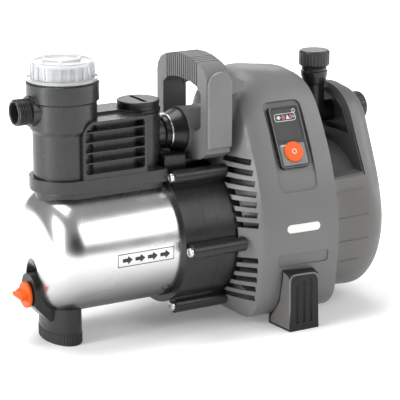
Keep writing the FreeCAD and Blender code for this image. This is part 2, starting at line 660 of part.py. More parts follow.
def clamp_ring():
    ring = tube_x(FLANGE_X0, FLANGE_X1, FLANGE_R, BARREL_R + 0.2)
    bridge = box(FLANGE_X0, FLANGE_X1, -34.0, 34.0, 190.0, 226.5)
    bridge = round_edges(bridge, 3.0, lambda e: along_x(e) and e.BoundBox.ZMin > 220)
    bridge = bridge.cut(cyl_x(FLANGE_X0 - 1, FLANGE_X1 + 1, FLANGE_R - 2))
    ring = ring.fuse(bolt_lugs(BOLT_TUBE_X0, FLANGE_X1)).fuse(bridge)
    ring = ring.cut(bolt_holes(FLANGE_X0 - 1, FLANGE_X1 + 1))
    ring = ring.cut(cyl_x(BARREL_OPEN_X - 0.1, FLANGE_X1 + 1, LIP_R + 0.2))
    ring = ring.cut(cyl_x(-70.0, 40.0, 30.2, 0.0, PIPE_Z))
    ring = ring.cut(cyl_z(SADDLE_TOP_Z - 0.2, 300.0, FILL_R + FIT, FILL_X))
    return largest(ring.removeSplitter())


def stage_ring():
    ring = tube_x(FLANGE_X1 + 0.1, FLANGE_X2 - 0.1, FLANGE_R, 74.0)
    ring = ring.fuse(bolt_lugs(FLANGE_X1 + 0.1, FLANGE_X2 - 0.1))
    ring = ring.cut(bolt_holes(FLANGE_X1 - 1, FLANGE_X2 + 1))
    return ring.removeSplitter()


def motor_bracket():
    ring = tube_x(FLANGE_X2, FLANGE_X3, FLANGE_R, 82.0)
    wall = tube_x(FLANGE_X2, FLANGE_X2 + 8.0, 83.0, 14.6)
    hub = tube_x(FLANGE_X2, FLANGE_X3 + 12.0, 26.0, BEARING_R + 0.02)
    hub = hub.fuse(tube_x(FLANGE_X2, FLANGE_X2 + 18.0, 26.0, 14.6))
    ribs = []
    for k in range(6):
        rib = box(FLANGE_X2 + 6, FLANGE_X3, 24.0, 83.0, AXIS_Z - 2, AXIS_Z + 2)
        rib.rotate(V(0, 0, AXIS_Z), V(1, 0, 0), 60 * k + 30)
        ribs.append(rib)
    body = ring.fuse([wall, hub] + ribs + bolt_lugs(FLANGE_X2, BOLT_TUBE_X1))
    return body.cut(bolt_holes(FLANGE_X2 - 1, BOLT_TUBE_X1 - 7)).removeSplitter()


def flange_bolts():
    def bolt(y, z):
        shank = cyl_x(BOLT_TUBE_X0 - 1, BOLT_TUBE_X1 - 9, BOLT_R, y, z)
        head = cyl_x(BOLT_TUBE_X0 - 5.2, BOLT_TUBE_X0 - 0.05, BOLT_HEAD_R, y, z)
        head = round_edges(head, 1.6, lambda e: e.BoundBox.XMax < BOLT_TUBE_X0 - 4)
        flats = [V(BOLT_TUBE_X0 - 6, y + 2.9 * math.cos(math.radians(60 * k)),
                   z + 2.9 * math.sin(math.radians(60 * k))) for k in range(6)]
        return head.fuse(shank).cut(prism(flats, V(3.6, 0, 0)))
    return Part.makeCompound([bolt(y, z) for y, z in BOLT_CIRCLE])


# ---- wet end internals -------------------------------------------------------
def impeller(index):
    x = STAGE_X0 + STAGE_PITCH * index + 7.0
    bore = SHAFT_R + 0.02
    back = tube_x(x + 9.0, x + 11.0, IMPELLER_R, bore)
    front = tube_x(x, x + 2.0, IMPELLER_R, 20.0)
    eye = tube_x(x - 4.0, x + 1.0, 22.0, 19.5)
    hub = tube_x(x + 2.0, x + 16.0, 13.0, bore)
    vanes = []
    for k in range(6):
        vane = box(x + 1.0, x + 10.0, 18.0, 58.0, AXIS_Z - 1.0, AXIS_Z + 1.0)
        vane.rotate(V(x, 18.0, AXIS_Z), V(1, 0, 0), 35)
        vane.rotate(V(0, 0, AXIS_Z), V(1, 0, 0), 60 * k)
        vanes.append(vane.common(cyl_x(x, x + 11, IMPELLER_R)))
    return back.fuse([front, eye, hub] + vanes).removeSplitter()


def diffuser(index):
    x = STAGE_X0 + STAGE_PITCH * index
    last = index == STAGES - 1
    end = FLANGE_X2 - 0.2 if last else x + STAGE_PITCH - 0.2
    shell = tube_x(x, end, DIFFUSER_R, DIFFUSER_R - 2.5)
    if index == 0:
        shell = shell.fuse(tube_x(x, x + 2.5, BARREL_R - BARREL_WALL - 0.2, 23.0))
    if last:
        for k in range(6):
            port = cyl_z(AXIS_Z + 50, AXIS_Z + 90, 10.0, end - 26.0)
            port.rotate(V(0, 0, AXIS_Z), V(1, 0, 0), 60 * k)
            shell = shell.cut(port)
    wall = tube_x(x + 20.5, x + 22.5, DIFFUSER_R - 1, 14.5)
    vanes = []
    for k in range(7):
        vane = box(x + 22.0, x + STAGE_PITCH - 1.0, 30.0, 66.0, AXIS_Z - 1.0, AXIS_Z + 1.0)
        vane.rotate(V(x, 30.0, AXIS_Z), V(1, 0, 0), -30)
        vane.rotate(V(0, 0, AXIS_Z), V(1, 0, 0), 360.0 / 7 * k)
        vanes.append(vane.common(cyl_x(x, x + STAGE_PITCH, DIFFUSER_R - 1)))
    return shell.fuse([wall] + vanes).removeSplitter()


def pump_shaft():
    return spin_x([(-174.0, 0.0), (-174.0, 7.0), (-164.5, 7.0), (-164.5, SHAFT_R),
                   (14.0, SHAFT_R), (14.0, BEARING_BORE_R), (30.5, BEARING_BORE_R), (30.5, 12.0),
                   (40.0, 12.0), (40.0, 10.0), (134.0, 10.0), (134.0, BEARING_BORE_R),
                   (150.0, BEARING_BORE_R), (150.0, SHAFT_R), (FAN_X1 + 2.0, SHAFT_R),
                   (FAN_X1 + 2.0, 0.0)])


def impeller_nut():
    flats = [V(-173.0, 12.5 * math.cos(math.radians(60 * k)), AXIS_Z + 12.5 * math.sin(math.radians(60 * k)))
             for k in range(6)]
    return prism(flats, V(8.0, 0, 0)).cut(cyl_x(-180, -160, 7.02))


def shaft_seal_rotor():
    return tube_x(-32.0, -16.4, 13.5, SHAFT_R + 0.02)


def shaft_seal_seat():
    return tube_x(FLANGE_X2 - 0.8, FLANGE_X2 + 5.0, 14.5, SHAFT_R + 0.5)


def bearing(x0):
    """Deep-groove ball bearing: two rings, seven balls and a cage ring."""
    x1 = x0 + BEARING_W
    mid = (BEARING_R + BEARING_BORE_R) / 2
    xm = (x0 + x1) / 2
    track = Part.makeTorus(mid, 3.45, V(xm, 0, AXIS_Z), V(1, 0, 0))
    outer = tube_x(x0, x1, BEARING_R, mid + 2.0).cut(track)
    inner = tube_x(x0, x1, mid - 2.0, BEARING_BORE_R + 0.02).cut(track)
    balls = []
    for k in range(7):
        a = 2 * math.pi * k / 7
        balls.append(Part.makeSphere(3.3, V(xm, mid * math.cos(a), AXIS_Z + mid * math.sin(a))))
    cage = tube_x(xm - 1.0, xm + 1.0, mid + 1.0, mid - 1.0)
    cage = cage.fuse(balls)
    return Part.makeCompound([outer, inner, cage])


# ---- motor -------------------------------------------------------------------
def rotor_core():
    core = tube_x(STATOR_X0, STATOR_X1, ROTOR_R, 10.02)
    front = tube_x(STATOR_X0 - 4.0, STATOR_X0 + 1, 32.0, 20.0)
    back = tube_x(STATOR_X1 - 1, STATOR_X1 + 4.0, 32.0, 20.0)
    return core.fuse([front, back]).removeSplitter()


def stator_core():
    core = tube_x(STATOR_X0, STATOR_X1, STATOR_R, ROTOR_R + 0.4)
    slots = []
    for k in range(24):
        slot = box(STATOR_X0 - 1, STATOR_X1 + 1, 38.5, 50.0, AXIS_Z - 2.4, AXIS_Z + 2.4)
        slot.rotate(V(0, 0, AXIS_Z), V(1, 0, 0), 15 * k)
        slots.append(slot)
    return core.cut(Part.makeCompound(slots))


def stator_windings():
    coils = []
    for k in range(24):
        bar = box(STATOR_X0 - 4, STATOR_X1 + 4, 40.0, 49.0, AXIS_Z - 2.1, AXIS_Z + 2.1)
        bar.rotate(V(0, 0, AXIS_Z), V(1, 0, 0), 15 * k)
        coils.append(bar)
    front = tube_x(STATOR_X0 - 12.0, STATOR_X0 - 2.0, 52.0, 39.0)
    rear = tube_x(STATOR_X1 + 2.0, STATOR_X1 + 12.0, 52.0, 39.0)
    return front.fuse([rear] + coils)


def motor_housing():
    shell = tube_x(FLANGE_X3 + 0.2, 138.0, STATOR_R + 4.0, STATOR_R + 0.1)
    shield = tube_x(138.0, 142.0, STATOR_R + 4.0, BEARING_R + 0.02)
    seat = tube_x(134.0, 150.0, BEARING_R + 5.0, BEARING_R + 0.02)
    fins = []
    for k in range(24):
        fin = box(50.0, 132.0, STATOR_R + 3, STATOR_R + 9, AXIS_Z - 1.0, AXIS_Z + 1.0)
        fin.rotate(V(0, 0, AXIS_Z), V(1, 0, 0), 15 * k)
        fins.append(fin)
    return shell.fuse([shield, seat] + fins).removeSplitter()


def cooling_fan():
    hub = tube_x(FAN_X0, FAN_X1, 16.0, SHAFT_R + 0.02)
    disc = tube_x(FAN_X0, FAN_X0 + 2.5, FAN_R, 15.0)
    blades = []
    for k in range(9):
        blade = box(FAN_X0 + 1, FAN_X1, 15.0, FAN_R, AXIS_Z - 1.0, AXIS_Z + 1.0)
        blade.rotate(V(0, 0, AXIS_Z), V(1, 0, 0), 40 * k)
        blades.append(blade)
    return hub.fuse([disc] + blades).removeSplitter()


def capacitor():
    can = cyl_x(55.0, 125.0, 19.0, 52.0, 226.0)
    can = round_edges(can, 2.0, lambda e: e.BoundBox.XMin > 124)
    tags = [box(49.0, 56.0, 52.0 + s - 0.5, 52.0 + s + 0.5, 223.0, 229.0) for s in (-6.0, 6.0)]
    return can.fuse(tags).removeSplitter()


# ---- covers ------------------------------------------------------------------
def panel_frame(solid):
    """Place a piece built flat (u = X, v = Y up the panel, n = Z out) on the panel."""
    moved = solid.copy()
    moved.rotate(V(0, 0, 0), V(1, 0, 0), 90 - PANEL_TILT)
    moved.translate(V(PANEL_X, PANEL_Y, PANEL_Z))
    return moved


def panel_slab(w, h, n0, n1, radius, u=0.0, v=0.0):
    slab = box(u - w / 2, u + w / 2, v - h / 2, v + h / 2, n0, n1)
    return round_edges(slab, radius, vertical)


def hood_mouth(inset):
    """Slanted front of the hood, from its edge down to a round mouth."""
    wires = [section(HOOD_FRONT_X, HOOD_FRONT, inset), mouth_ring(HOOD_MOUTH_X, HOOD_MOUTH_R - inset)]
    return Part.makeLoft(wires, True, True)


def mouth_ring(x, r):
    half = []
    for y, z in HOOD_FRONT:
        a = math.atan2(z - AXIS_Z, y)
        half.append((r * math.cos(a), AXIS_Z + r * math.sin(a)))
    return section(x, half)


def hood_slots():
    """Horizontal air slots on both sides of the slanted front."""
    cutters = []
    upper = [140.5 + 12.9 * k for k in range(7)]
    lower = [94.0 - 13.2 * k for k in range(5)]
    h = SLOT_H
    for z in upper + lower:
        reach = math.sqrt(max(SLOT_REACH_Y ** 2, (HOOD_MOUTH_R - 8.0) ** 2 - (z - AXIS_Z) ** 2))
        edge = half_width(HOOD_FRONT, z) - 4.0
        slot = box(HOOD_MOUTH_X - 3, HOOD_FRONT_X + 6, -edge, -reach, z - h / 2, z + h / 2)
        cutters += [slot, mirrored(slot)]
    return Part.makeCompound(cutters)


def half_width(half, z):
    """Widest half width of an outline at height z, between its points."""
    best = 0.0
    for (y0, z0), (y1, z1) in zip(half, half[1:]):
        if min(z0, z1) <= z <= max(z0, z1) and z0 != z1:
            best = max(best, y0 + (y1 - y0) * (z - z0) / (z1 - z0))
    return best


def motor_hood():
    outer = skin(HOOD)
    inner = skin([(HOOD_FRONT_X - 0.2, HOOD_FRONT)] + HOOD[1:4] + [(HOOD_REAR_X + 0.2, HOOD_BACK)], WALL)
    pocket = panel_frame(panel_slab(56.0, 122.0, -5.0, 60.0, 9.0, 0.0, -13.5))
    backing = panel_frame(panel_slab(62.0, 128.0, -5.0 - WALL, 60.0, 9.0, 0.0, -13.5))
    apron = round_edges(box(60.0, 116.0, -140.0, -60.0, 179.0, 232.0), 9.0, along_y)
    dent = round_edges(box(55.0, 128.0, -140.0, -100.0, 83.0, 99.0), 4.0, along_y)
    shallow = apron.fuse(dent).cut(skin(HOOD, SKIN_DENT))
    shell = outer.cut(pocket).cut(inner.cut(backing)).cut(shallow)
    front = hood_mouth(0.0).cut(hood_mouth(WALL)).cut(hood_slots())
    hood = shell.fuse(front)
    hood = hood.cut(panel_frame(panel_slab(32.0, 72.0, -30.0, 0.0, 3.0)))
    hood = hood.cut(cyl_x(0.0, 60.0, 30.8, 0.0, PIPE_Z))
    for y, z in BOLT_CIRCLE:
        hood = hood.cut(cyl_x(5.0, BOLT_TUBE_X1 + FIT, BOLT_TUBE_R + FIT, y, z))
    return largest(hood)


def recess_cutter(grow):
    """Space around the top outlet, open upwards and sideways."""
    x0, x1 = HOOD_REAR_X - 2 - grow, 197.6 + grow
    drop = grow
    half = [(0, 216.5 - drop), (30, 212 - drop), (58, 199.5 - drop), (76, 186.5 - drop),
            (140, 184.5 - drop)]
    left = [V(x0, -y, z) for y, z in reversed(half)]
    right = [V(x0, y, z) for y, z in half[1:]]
    roof = [V(x0, 140, 360), V(x0, -140, 360)]
    return prism(left + right + roof, V(x1 - x0, 0, 0))


def arch_dish(inset, x1):
    """Hollow in the front of the rear arch, set in from its rim."""
    half = [(0, 289.5 - inset), (33 - inset * 0.45, 282.5 - inset * 0.9),
            (53 - inset * 0.8, 268 - inset * 0.6), (69 - inset * 0.9, 240 - inset * 0.2),
            (85 - inset * 0.9, 208 - inset * 0.2), (89 - inset * 0.7, 196)]
    left = [V(190.0, -y, z) for y, z in reversed(half)]
    right = [V(190.0, y, z) for y, z in half[1:]]
    return prism(left + right, V(x1 - 190.0, 0, 0))


def rear_cover():
    solid = skin(REAR)
    hollow = skin([(144.4, REAR_A)] + REAR[1:3] + [(231.0, REAR_D)], WALL)
    back = box(232.0, 300.0, -150, 150, 0, 400)
    keep = recess_cutter(6.0).fuse(box(194.0, 214.0, -150, 150, 180, 400))
    cover = solid.cut(hollow.cut(keep).cut(back))
    cover = cover.cut(recess_cutter(WALL)).cut(arch_dish(10.0, 210.0))
    cover = cover.cut(cyl_x(140.0, 260.0, 17.3, 0.0, PIPE_Z))
    cover = cover.cut(cyl_x(234.0, 262.0, CAP_R + 2.2, 0.0, PIPE_Z))
    slots = []
    for k in range(7):
        slots.append(box(228.0, 245.0, -34.0, 34.0, 84.0 + 10 * k, 88.5 + 10 * k))
    cover = cover.cut(Part.makeCompound(slots))
    cover = cover.cut(cyl_x(220.0, 260.0, GLAND_R, 0.0, GLAND_Z))
    for y, z in COVER_SCREWS:
        cover = cover.cut(cyl_x(200.0, 260.0, 2.2, y, z)).cut(cyl_x(233.3, 260.0, 4.8, y, z))
    return largest(cover.removeSplitter())


def recess_liner():
    body = skin(REAR)
    floor = recess_cutter(WALL - 0.1).cut(recess_cutter(0.0)).common(body)
    floor = floor.common(box(144.8, 198.4, -150, 150, 150, 230))
    dish = arch_dish(10.2, 209.8).cut(arch_dish(12.7, 207.3))
    dish = dish.common(box(197.6, 215.0, -150, 150, 190, 400))
    wall = skin([(142.9, HOOD_BACK), (145.4, HOOD_BACK)], WALL + 0.6).common(recess_cutter(WALL - 0.1))
    liner = floor.fuse([dish, wall])
    return liner.cut(cyl_x(140.0, 260.0, PIPE_R + 0.3, 0.0, PIPE_Z)).removeSplitter()


def cable_gland():
    x0 = 228.0
    outline = [(x0, 4.3), (x0, 8.8), (235.1, 8.8), (235.1, 12.0), (239.0, 12.0), (240.5, 10.6),
               (246.0, 10.2), (250.0, 8.2), (250.0, 4.3)]
    return spin_x(outline, 0.0, GLAND_Z)


def hood_screws():
    """Cross-head screws that hold the rear cover."""
    screws = []
    for y, z in COVER_SCREWS:
        head = cyl_x(233.4, 236.2, 4.5, y, z)
        shank = cyl_x(205.0, 234.0, 2.0, y, z)
        cross = box(234.8, 238.0, y - 0.6, y + 0.6, z - 2.6, z + 2.6)
        cross = cross.fuse(box(234.8, 238.0, y - 2.6, y + 2.6, z - 0.6, z + 0.6))
        screws.append(head.fuse(shank).cut(cross))
    return screws


# ---- handle ------------------------------------------------------------------
def handle_profile(half, x0, x1):
    """Slab across the machine from its half outline, whose first and last points are on the middle."""
    left = [V(x0, -y, z) for y, z in reversed(half[1:-1])]
    right = [V(x0, y, z) for y, z in half]
    return prism(left + right, V(x1 - x0, 0, 0))


def handle_frame():
    inner_y = HANDLE_HALF_Y - HANDLE_COVER_T
    window_y = inner_y - HANDLE_LEG_T
    outer = [(0, GRIP_TOP_Z), (20, 347.0), (40, 342.5), (55, 336.0), (inner_y, 325.0),
             (inner_y, 229.0), (48, 220.0), (24, 214.5), (0, 213.5)]
    window = [(0, 317.0), (20, 316.0), (36, 312.5), (window_y, 304.0), (window_y, 262.0),
              (40, 254.0), (0, 254.0)]
    arch = handle_profile(outer, HANDLE_X0, HANDLE_X1)
    arch = arch.cut(handle_profile(window, HANDLE_X0 - 1, HANDLE_X1 + 1))
    arch = arch.cut(grip_grooves())
    for side in (-1, 1):
        fin = prism([V(10.0, side * 46.0, 330.0), V(41.0, side * 46.0, 316.0),
                     V(36.0, side * 46.0, 306.0), V(10.0, side * 46.0, 298.0)], V(0, side * 12.0, 0))
        arch = arch.fuse(fin)
    arch = arch.cut(skin(HOOD, -0.2)).cut(hood_mouth(-0.2))
    frame = largest(arch).fuse(cyl_x(-25.0, 31.0, 30.0, 0.0, PIPE_Z))
    return largest(frame.cut(cyl_x(-60.0, 60.0, PIPE_R + 0.3, 0.0, PIPE_Z)))


def grip_grooves():
    """Shallow grooves round the top bar of the handle."""
    core = handle_profile([(0, GRIP_TOP_Z - 1.6), (20, 345.4), (42, 340.2), (42, 313.0), (36, 314.3),
                           (20, 317.8), (0, 318.8)], HANDLE_X0 + 1.6, HANDLE_X1 - 1.6)
    grooves = []
    for k in range(-7, 8):
        groove = box(HANDLE_X0 - 2, HANDLE_X1 + 2, 5.4 * k - 1.2, 5.4 * k + 1.2, 308.0, 352.0)
        grooves.append(groove.cut(core))
    return Part.makeCompound(grooves)


def handle_cover(side):
    """Outer trim panel of one handle leg, with a rounded top."""
    y0 = HANDLE_HALF_Y - HANDLE_COVER_T + 0.05
    x0, x1 = HANDLE_X0 + 0.6, HANDLE_X1 + 1.4
    xm, r = (x0 + x1) / 2, (x1 - x0) / 2
    plate = box(x0, x1, y0, HANDLE_HALF_Y, 236.0, 316.0)
    top = cyl_y(y0, HANDLE_HALF_Y, r, xm, 316.0)
    panel = plate.fuse(top).removeSplitter()
    panel = round_edges(panel, 2.6, lambda e: e.BoundBox.YMin > HANDLE_HALF_Y - 0.1)
    return panel if side > 0 else mirrored(panel)


# ---- control panel -----------------------------------------------------------
def control_bezel():
    bezel = panel_slab(PANEL_W, PANEL_H, -4.9, 1.2, 6.0)
    bezel = bezel.cut(panel_slab(WINDOW_W, WINDOW_H, -1.0, 5.0, 2.0, 0.0, WINDOW_V))
    bezel = bezel.cut(panel_slab(38.0, 29.0, 0.2, 5.0, 2.0, 0.0, -23.5))
    hole = Part.makeCylinder(BUTTON_R + FIT, 20.0, V(0, BUTTON_V, -10.0))
    return panel_frame(bezel.cut(hole))


def display_window():
    return panel_frame(panel_slab(WINDOW_W - 0.4, WINDOW_H - 0.4, -0.95, 0.6, 1.8, 0.0, WINDOW_V))


def power_button():
    disc = Part.makeCylinder(BUTTON_R, 7.2, V(0, BUTTON_V, -4.0))
    disc = round_edges(disc, 1.4, lambda e: e.BoundBox.ZMin > 3.0)
    stem = Part.makeCylinder(2.5, 4.0, V(0, BUTTON_V, -8.0))
    return panel_frame(disc.fuse(stem))


def control_board():
    board = panel_slab(30.0, 62.0, -17.0, -15.4, 1.0)
    switch = box(-4.0, 4.0, BUTTON_V - 4.0, BUTTON_V + 4.0, -15.4, -11.6)
    display = box(-13.0, 13.0, 8.0, 22.0, -15.4, -9.5)
    relay = box(-12.0, 6.0, -14.0, 4.0, -30.0, -17.0)
    return panel_frame(board.fuse([switch, display, relay]).removeSplitter())


# ---- rear feet ---------------------------------------------------------------
def rear_foot(side):
    """Moulded foot block that wraps the lower corner of the hood."""
    low = [V(60.0, -88.0, 0), V(63.5, -FOOT_Y, 0), V(107.0, -FOOT_Y, 0), V(110.0, -88.0, 0)]
    high = [V(60.0, -88.0, 84), V(62.5, -FOOT_Y + 1, 76), V(105.0, -FOOT_Y + 1, 74), V(108.0, -88.0, 82)]
    sides = []
    for a, b in ((0, 1), (1, 2), (2, 3), (3, 0)):
        sides.append(Part.Face(Part.makePolygon([low[a], low[b], high[b], low[a]])))
        sides.append(Part.Face(Part.makePolygon([low[a], high[b], high[a], low[a]])))
    caps = [Part.Face(Part.makePolygon([low[0], low[1], low[2], low[0]])),
            Part.Face(Part.makePolygon([low[0], low[2], low[3], low[0]])),
            Part.Face(Part.makePolygon([high[0], high[1], high[2], high[0]])),
            Part.Face(Part.makePolygon([high[0], high[2], high[3], high[0]]))]
    block = Part.makeSolid(Part.makeShell(sides + caps))
    grooves = []
    for k in range(3):
        groove = cyl_z(10.0, 62.0 + 3 * k, 2.0, 74.0 + 10.5 * k, -FOOT_Y)
        grooves.append(groove)
    block = block.cut(Part.makeCompound(grooves)).cut(skin(HOOD, -0.2))
    block = largest(block)
    return mirrored(block) if side > 0 else block


# ---- all pieces --------------------------------------------------------------
NODES["pump_barrel"] = pump_barrel()
NODES["front_foot"] = front_foot()
NODES["foot_sleeve"] = foot_sleeve()
NODES["drain_seal"] = drain_seal()
NODES["drain_plug"] = drain_plug()
NODES["saddle_base"] = saddle_base()
NODES["filter_housing"] = filter_housing()
NODES["inlet_fitting"] = inlet_fitting()
NODES["filter_insert"] = filter_insert()
NODES["lid_seal"] = lid_seal()
NODES["filter_lid"] = filter_lid()
NODES["check_valve_seat"] = check_valve_seat()
NODES["check_valve_poppet"] = check_valve_poppet()
NODES["check_valve_spring"] = check_valve_spring()
NODES["valve_housing"] = valve_housing()
NODES["fill_plug_seal"] = fill_plug_seal()
NODES["fill_plug"] = fill_plug()
NODES["outlet_union"] = outlet_union()
NODES["union_ring"] = union_ring()
NODES["outlet_manifold"] = outlet_manifold()
NODES["top_outlet_seal"] = outlet_seal()
NODES["top_outlet_cap"] = top_outlet_cap()
NODES["rear_outlet_seal"] = rear_frame(outlet_seal())
NODES["rear_outlet_cap"] = rear_frame(top_outlet_cap())
NODES["clamp_ring"] = clamp_ring()
NODES["stage_ring"] = stage_ring()
NODES["motor_bracket"] = motor_bracket()
NODES["flange_bolts"] = flange_bolts()
for stage in range(STAGES):
    NODES["impeller_%d" % (stage + 1)] = impeller(stage)
    NODES["diffuser_%d" % (stage + 1)] = diffuser(stage)
NODES["pump_shaft"] = pump_shaft()
NODES["impeller_nut"] = impeller_nut()
NODES["shaft_seal_rotor"] = shaft_seal_rotor()
NODES["shaft_seal_seat"] = shaft_seal_seat()
NODES["front_bearing"] = bearing(17.0)
NODES["rear_bearing"] = bearing(136.0)
NODES["rotor_core"] = rotor_core()
NODES["stator_core"] = stator_core()
NODES["stator_windings"] = stator_windings()
NODES["motor_housing"] = motor_housing()
NODES["cooling_fan"] = cooling_fan()
NODES["capacitor"] = capacitor()
NODES["motor_hood"] = motor_hood()
NODES["rear_cover"] = rear_cover()
NODES["recess_liner"] = recess_liner()
NODES["cable_gland"] = cable_gland()
NODES["hood_screws"] = Part.makeCompound(hood_screws())
NODES["handle_frame"] = handle_frame()
NODES["handle_cover_near"] = handle_cover(-1)
NODES["handle_cover_far"] = handle_cover(1)
NODES["control_bezel"] = control_bezel()
NODES["display_window"] = display_window()
NODES["power_button"] = power_button()
NODES["control_board"] = control_board()
NODES["rear_foot_near"] = rear_foot(-1)
NODES["rear_foot_far"] = rear_foot(1)

os.makedirs("parts", exist_ok=True)
for name, shape in NODES.items():
    shape.exportStep("parts/%s.step" % name)
    b = shape.BoundBox
    print("%-20s solids %2d valid %s vol %9.0f  x %.1f..%.1f y %.1f..%.1f z %.1f..%.1f" % (
        name, len(shape.Solids), shape.isValid(), shape.Volume,
        b.XMin, b.XMax, b.YMin, b.YMax, b.ZMin, b.ZMax))
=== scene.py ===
import json
import math

import bmesh
import bpy
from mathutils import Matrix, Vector
from mathutils.bvhtree import BVHTree


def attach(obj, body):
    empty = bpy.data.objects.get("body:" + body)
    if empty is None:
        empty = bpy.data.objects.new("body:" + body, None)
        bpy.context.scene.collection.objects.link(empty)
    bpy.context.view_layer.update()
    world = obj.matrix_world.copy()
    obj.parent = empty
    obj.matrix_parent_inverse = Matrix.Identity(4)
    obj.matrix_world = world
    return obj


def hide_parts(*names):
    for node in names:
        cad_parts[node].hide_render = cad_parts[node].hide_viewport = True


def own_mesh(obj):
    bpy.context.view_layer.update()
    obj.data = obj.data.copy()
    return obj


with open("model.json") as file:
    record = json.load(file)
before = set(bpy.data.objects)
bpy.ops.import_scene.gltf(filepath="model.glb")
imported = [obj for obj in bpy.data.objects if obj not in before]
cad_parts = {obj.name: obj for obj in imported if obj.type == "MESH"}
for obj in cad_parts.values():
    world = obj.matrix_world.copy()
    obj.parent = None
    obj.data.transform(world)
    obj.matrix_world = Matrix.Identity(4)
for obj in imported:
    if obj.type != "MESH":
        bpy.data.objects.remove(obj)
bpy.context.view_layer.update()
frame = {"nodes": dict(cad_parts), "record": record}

# Looks of a garden water pump. The pump's own pieces are given in millimetres in the CAD
# frame and become metres where their vertices are made. Nothing here moves a CAD node.
# "near" is the side with the control panel (-Y), "far" is its mirror.
ROOT = "housing"
MILLI = 0.001
NEAR, FAR = -1, 1
SIDES = ((NEAR, "near"), (FAR, "far"))

# Places taken over from the CAD.
AXIS_Z = 116.5
BARREL_R = 80.0
PANEL_CENTRE = Vector((88.0, -88.5, 245.5))
PANEL_TILT = math.radians(63.5)
BUTTON_V = -20.5
BUTTON_FRONT = 3.2
FILTER_X = -187.4


def mm(x, y, z):
    return Vector((x, y, z)) * MILLI


# ---- materials ---------------------------------------------------------------
MIX_A, MIX_B, MIX_COLOUR = 6, 7, 2     # colour sockets of a Mix node
NOISE_ROUGH = 0.55
EDGE_SAMPLES, EDGE_RADIUS = 4, 0.0007
EDGE_BAND = (0.86, 0.99)               # agreement of the normals, worn edge to flat face
SCUFF_FINER, SCUFF_DETAIL = 9.0, 6.0   # scuffs, against the clouds in the colour
SCUFF_LEAST, SCUFF_BAND = 0.2, (0.45, 0.7)
GLOSS_FINER = 3.0                      # patches of gloss, against the same clouds
GRAIN_DETAIL, GRAIN_DEPTH = 3.0, 0.0003


class Graph:
    """Short forms for building one material's nodes."""

    def __init__(self, name):
        self.material = bpy.data.materials.new(name)
        self.material.use_nodes = True
        self.tree = self.material.node_tree
        self.bsdf = self.tree.nodes["Principled BSDF"]
        self.place = self.add("ShaderNodeTexCoord").outputs["Object"]

    def add(self, kind, **values):
        node = self.tree.nodes.new(kind)
        for key, value in values.items():
            setattr(node, key, value)
        return node

    def join(self, a, b):
        self.tree.links.new(a, b)

    def noise(self, scale, stretch=(1, 1, 1), detail=4.0):
        mapping = self.add("ShaderNodeMapping")
        mapping.inputs["Scale"].default_value = stretch
        self.join(self.place, mapping.inputs["Vector"])
        node = self.add("ShaderNodeTexNoise")
        node.inputs["Scale"].default_value = scale
        node.inputs["Detail"].default_value = detail
        node.inputs["Roughness"].default_value = NOISE_ROUGH
        self.join(mapping.outputs["Vector"], node.inputs["Vector"])
        return node.outputs["Fac"]

    def spread(self, source, low, high, start=0.3, end=0.7):
        """Maps start..end of the source onto low..high."""
        node = self.add("ShaderNodeMapRange")
        node.inputs["From Min"].default_value = start
        node.inputs["From Max"].default_value = end
        node.inputs["To Min"].default_value = low
        node.inputs["To Max"].default_value = high
        self.join(source, node.inputs["Value"])
        return node.outputs["Result"]

    def blend(self, factor, a, b):
        """Mixes two colours, each a fixed colour or a socket."""
        node = self.add("ShaderNodeMix", data_type="RGBA")
        self.join(factor, node.inputs["Factor"])
        for socket, value in ((node.inputs[MIX_A], a), (node.inputs[MIX_B], b)):
            if isinstance(value, tuple):
                socket.default_value = value
            else:
                self.join(value, socket)
        return node.outputs[MIX_COLOUR]

    def edge_wear(self, radius):
        """A rounded normal, and a value that is high where the surface turns sharply."""
        soft = self.add("ShaderNodeBevel", samples=EDGE_SAMPLES)
        soft.inputs["Radius"].default_value = radius
        flat = self.add("ShaderNodeNewGeometry")
        dot = self.add("ShaderNodeVectorMath", operation="DOT_PRODUCT")
        self.join(soft.outputs["Normal"], dot.inputs[0])
        self.join(flat.outputs["Normal"], dot.inputs[1])
        return soft.outputs["Normal"], self.spread(dot.outputs["Value"], 1.0, 0.0, *EDGE_BAND)

    def bump(self, height, strength, distance, normal=None):
        node = self.add("ShaderNodeBump")
        node.inputs["Strength"].default_value = strength
        node.inputs["Distance"].default_value = distance
        self.join(height, node.inputs["Height"])
        if normal is not None:
            self.join(normal, node.inputs["Normal"])
        return node.outputs["Normal"]


def shade(colour, factor):
    return tuple(min(1.0, c * factor) for c in colour) + (1.0,)


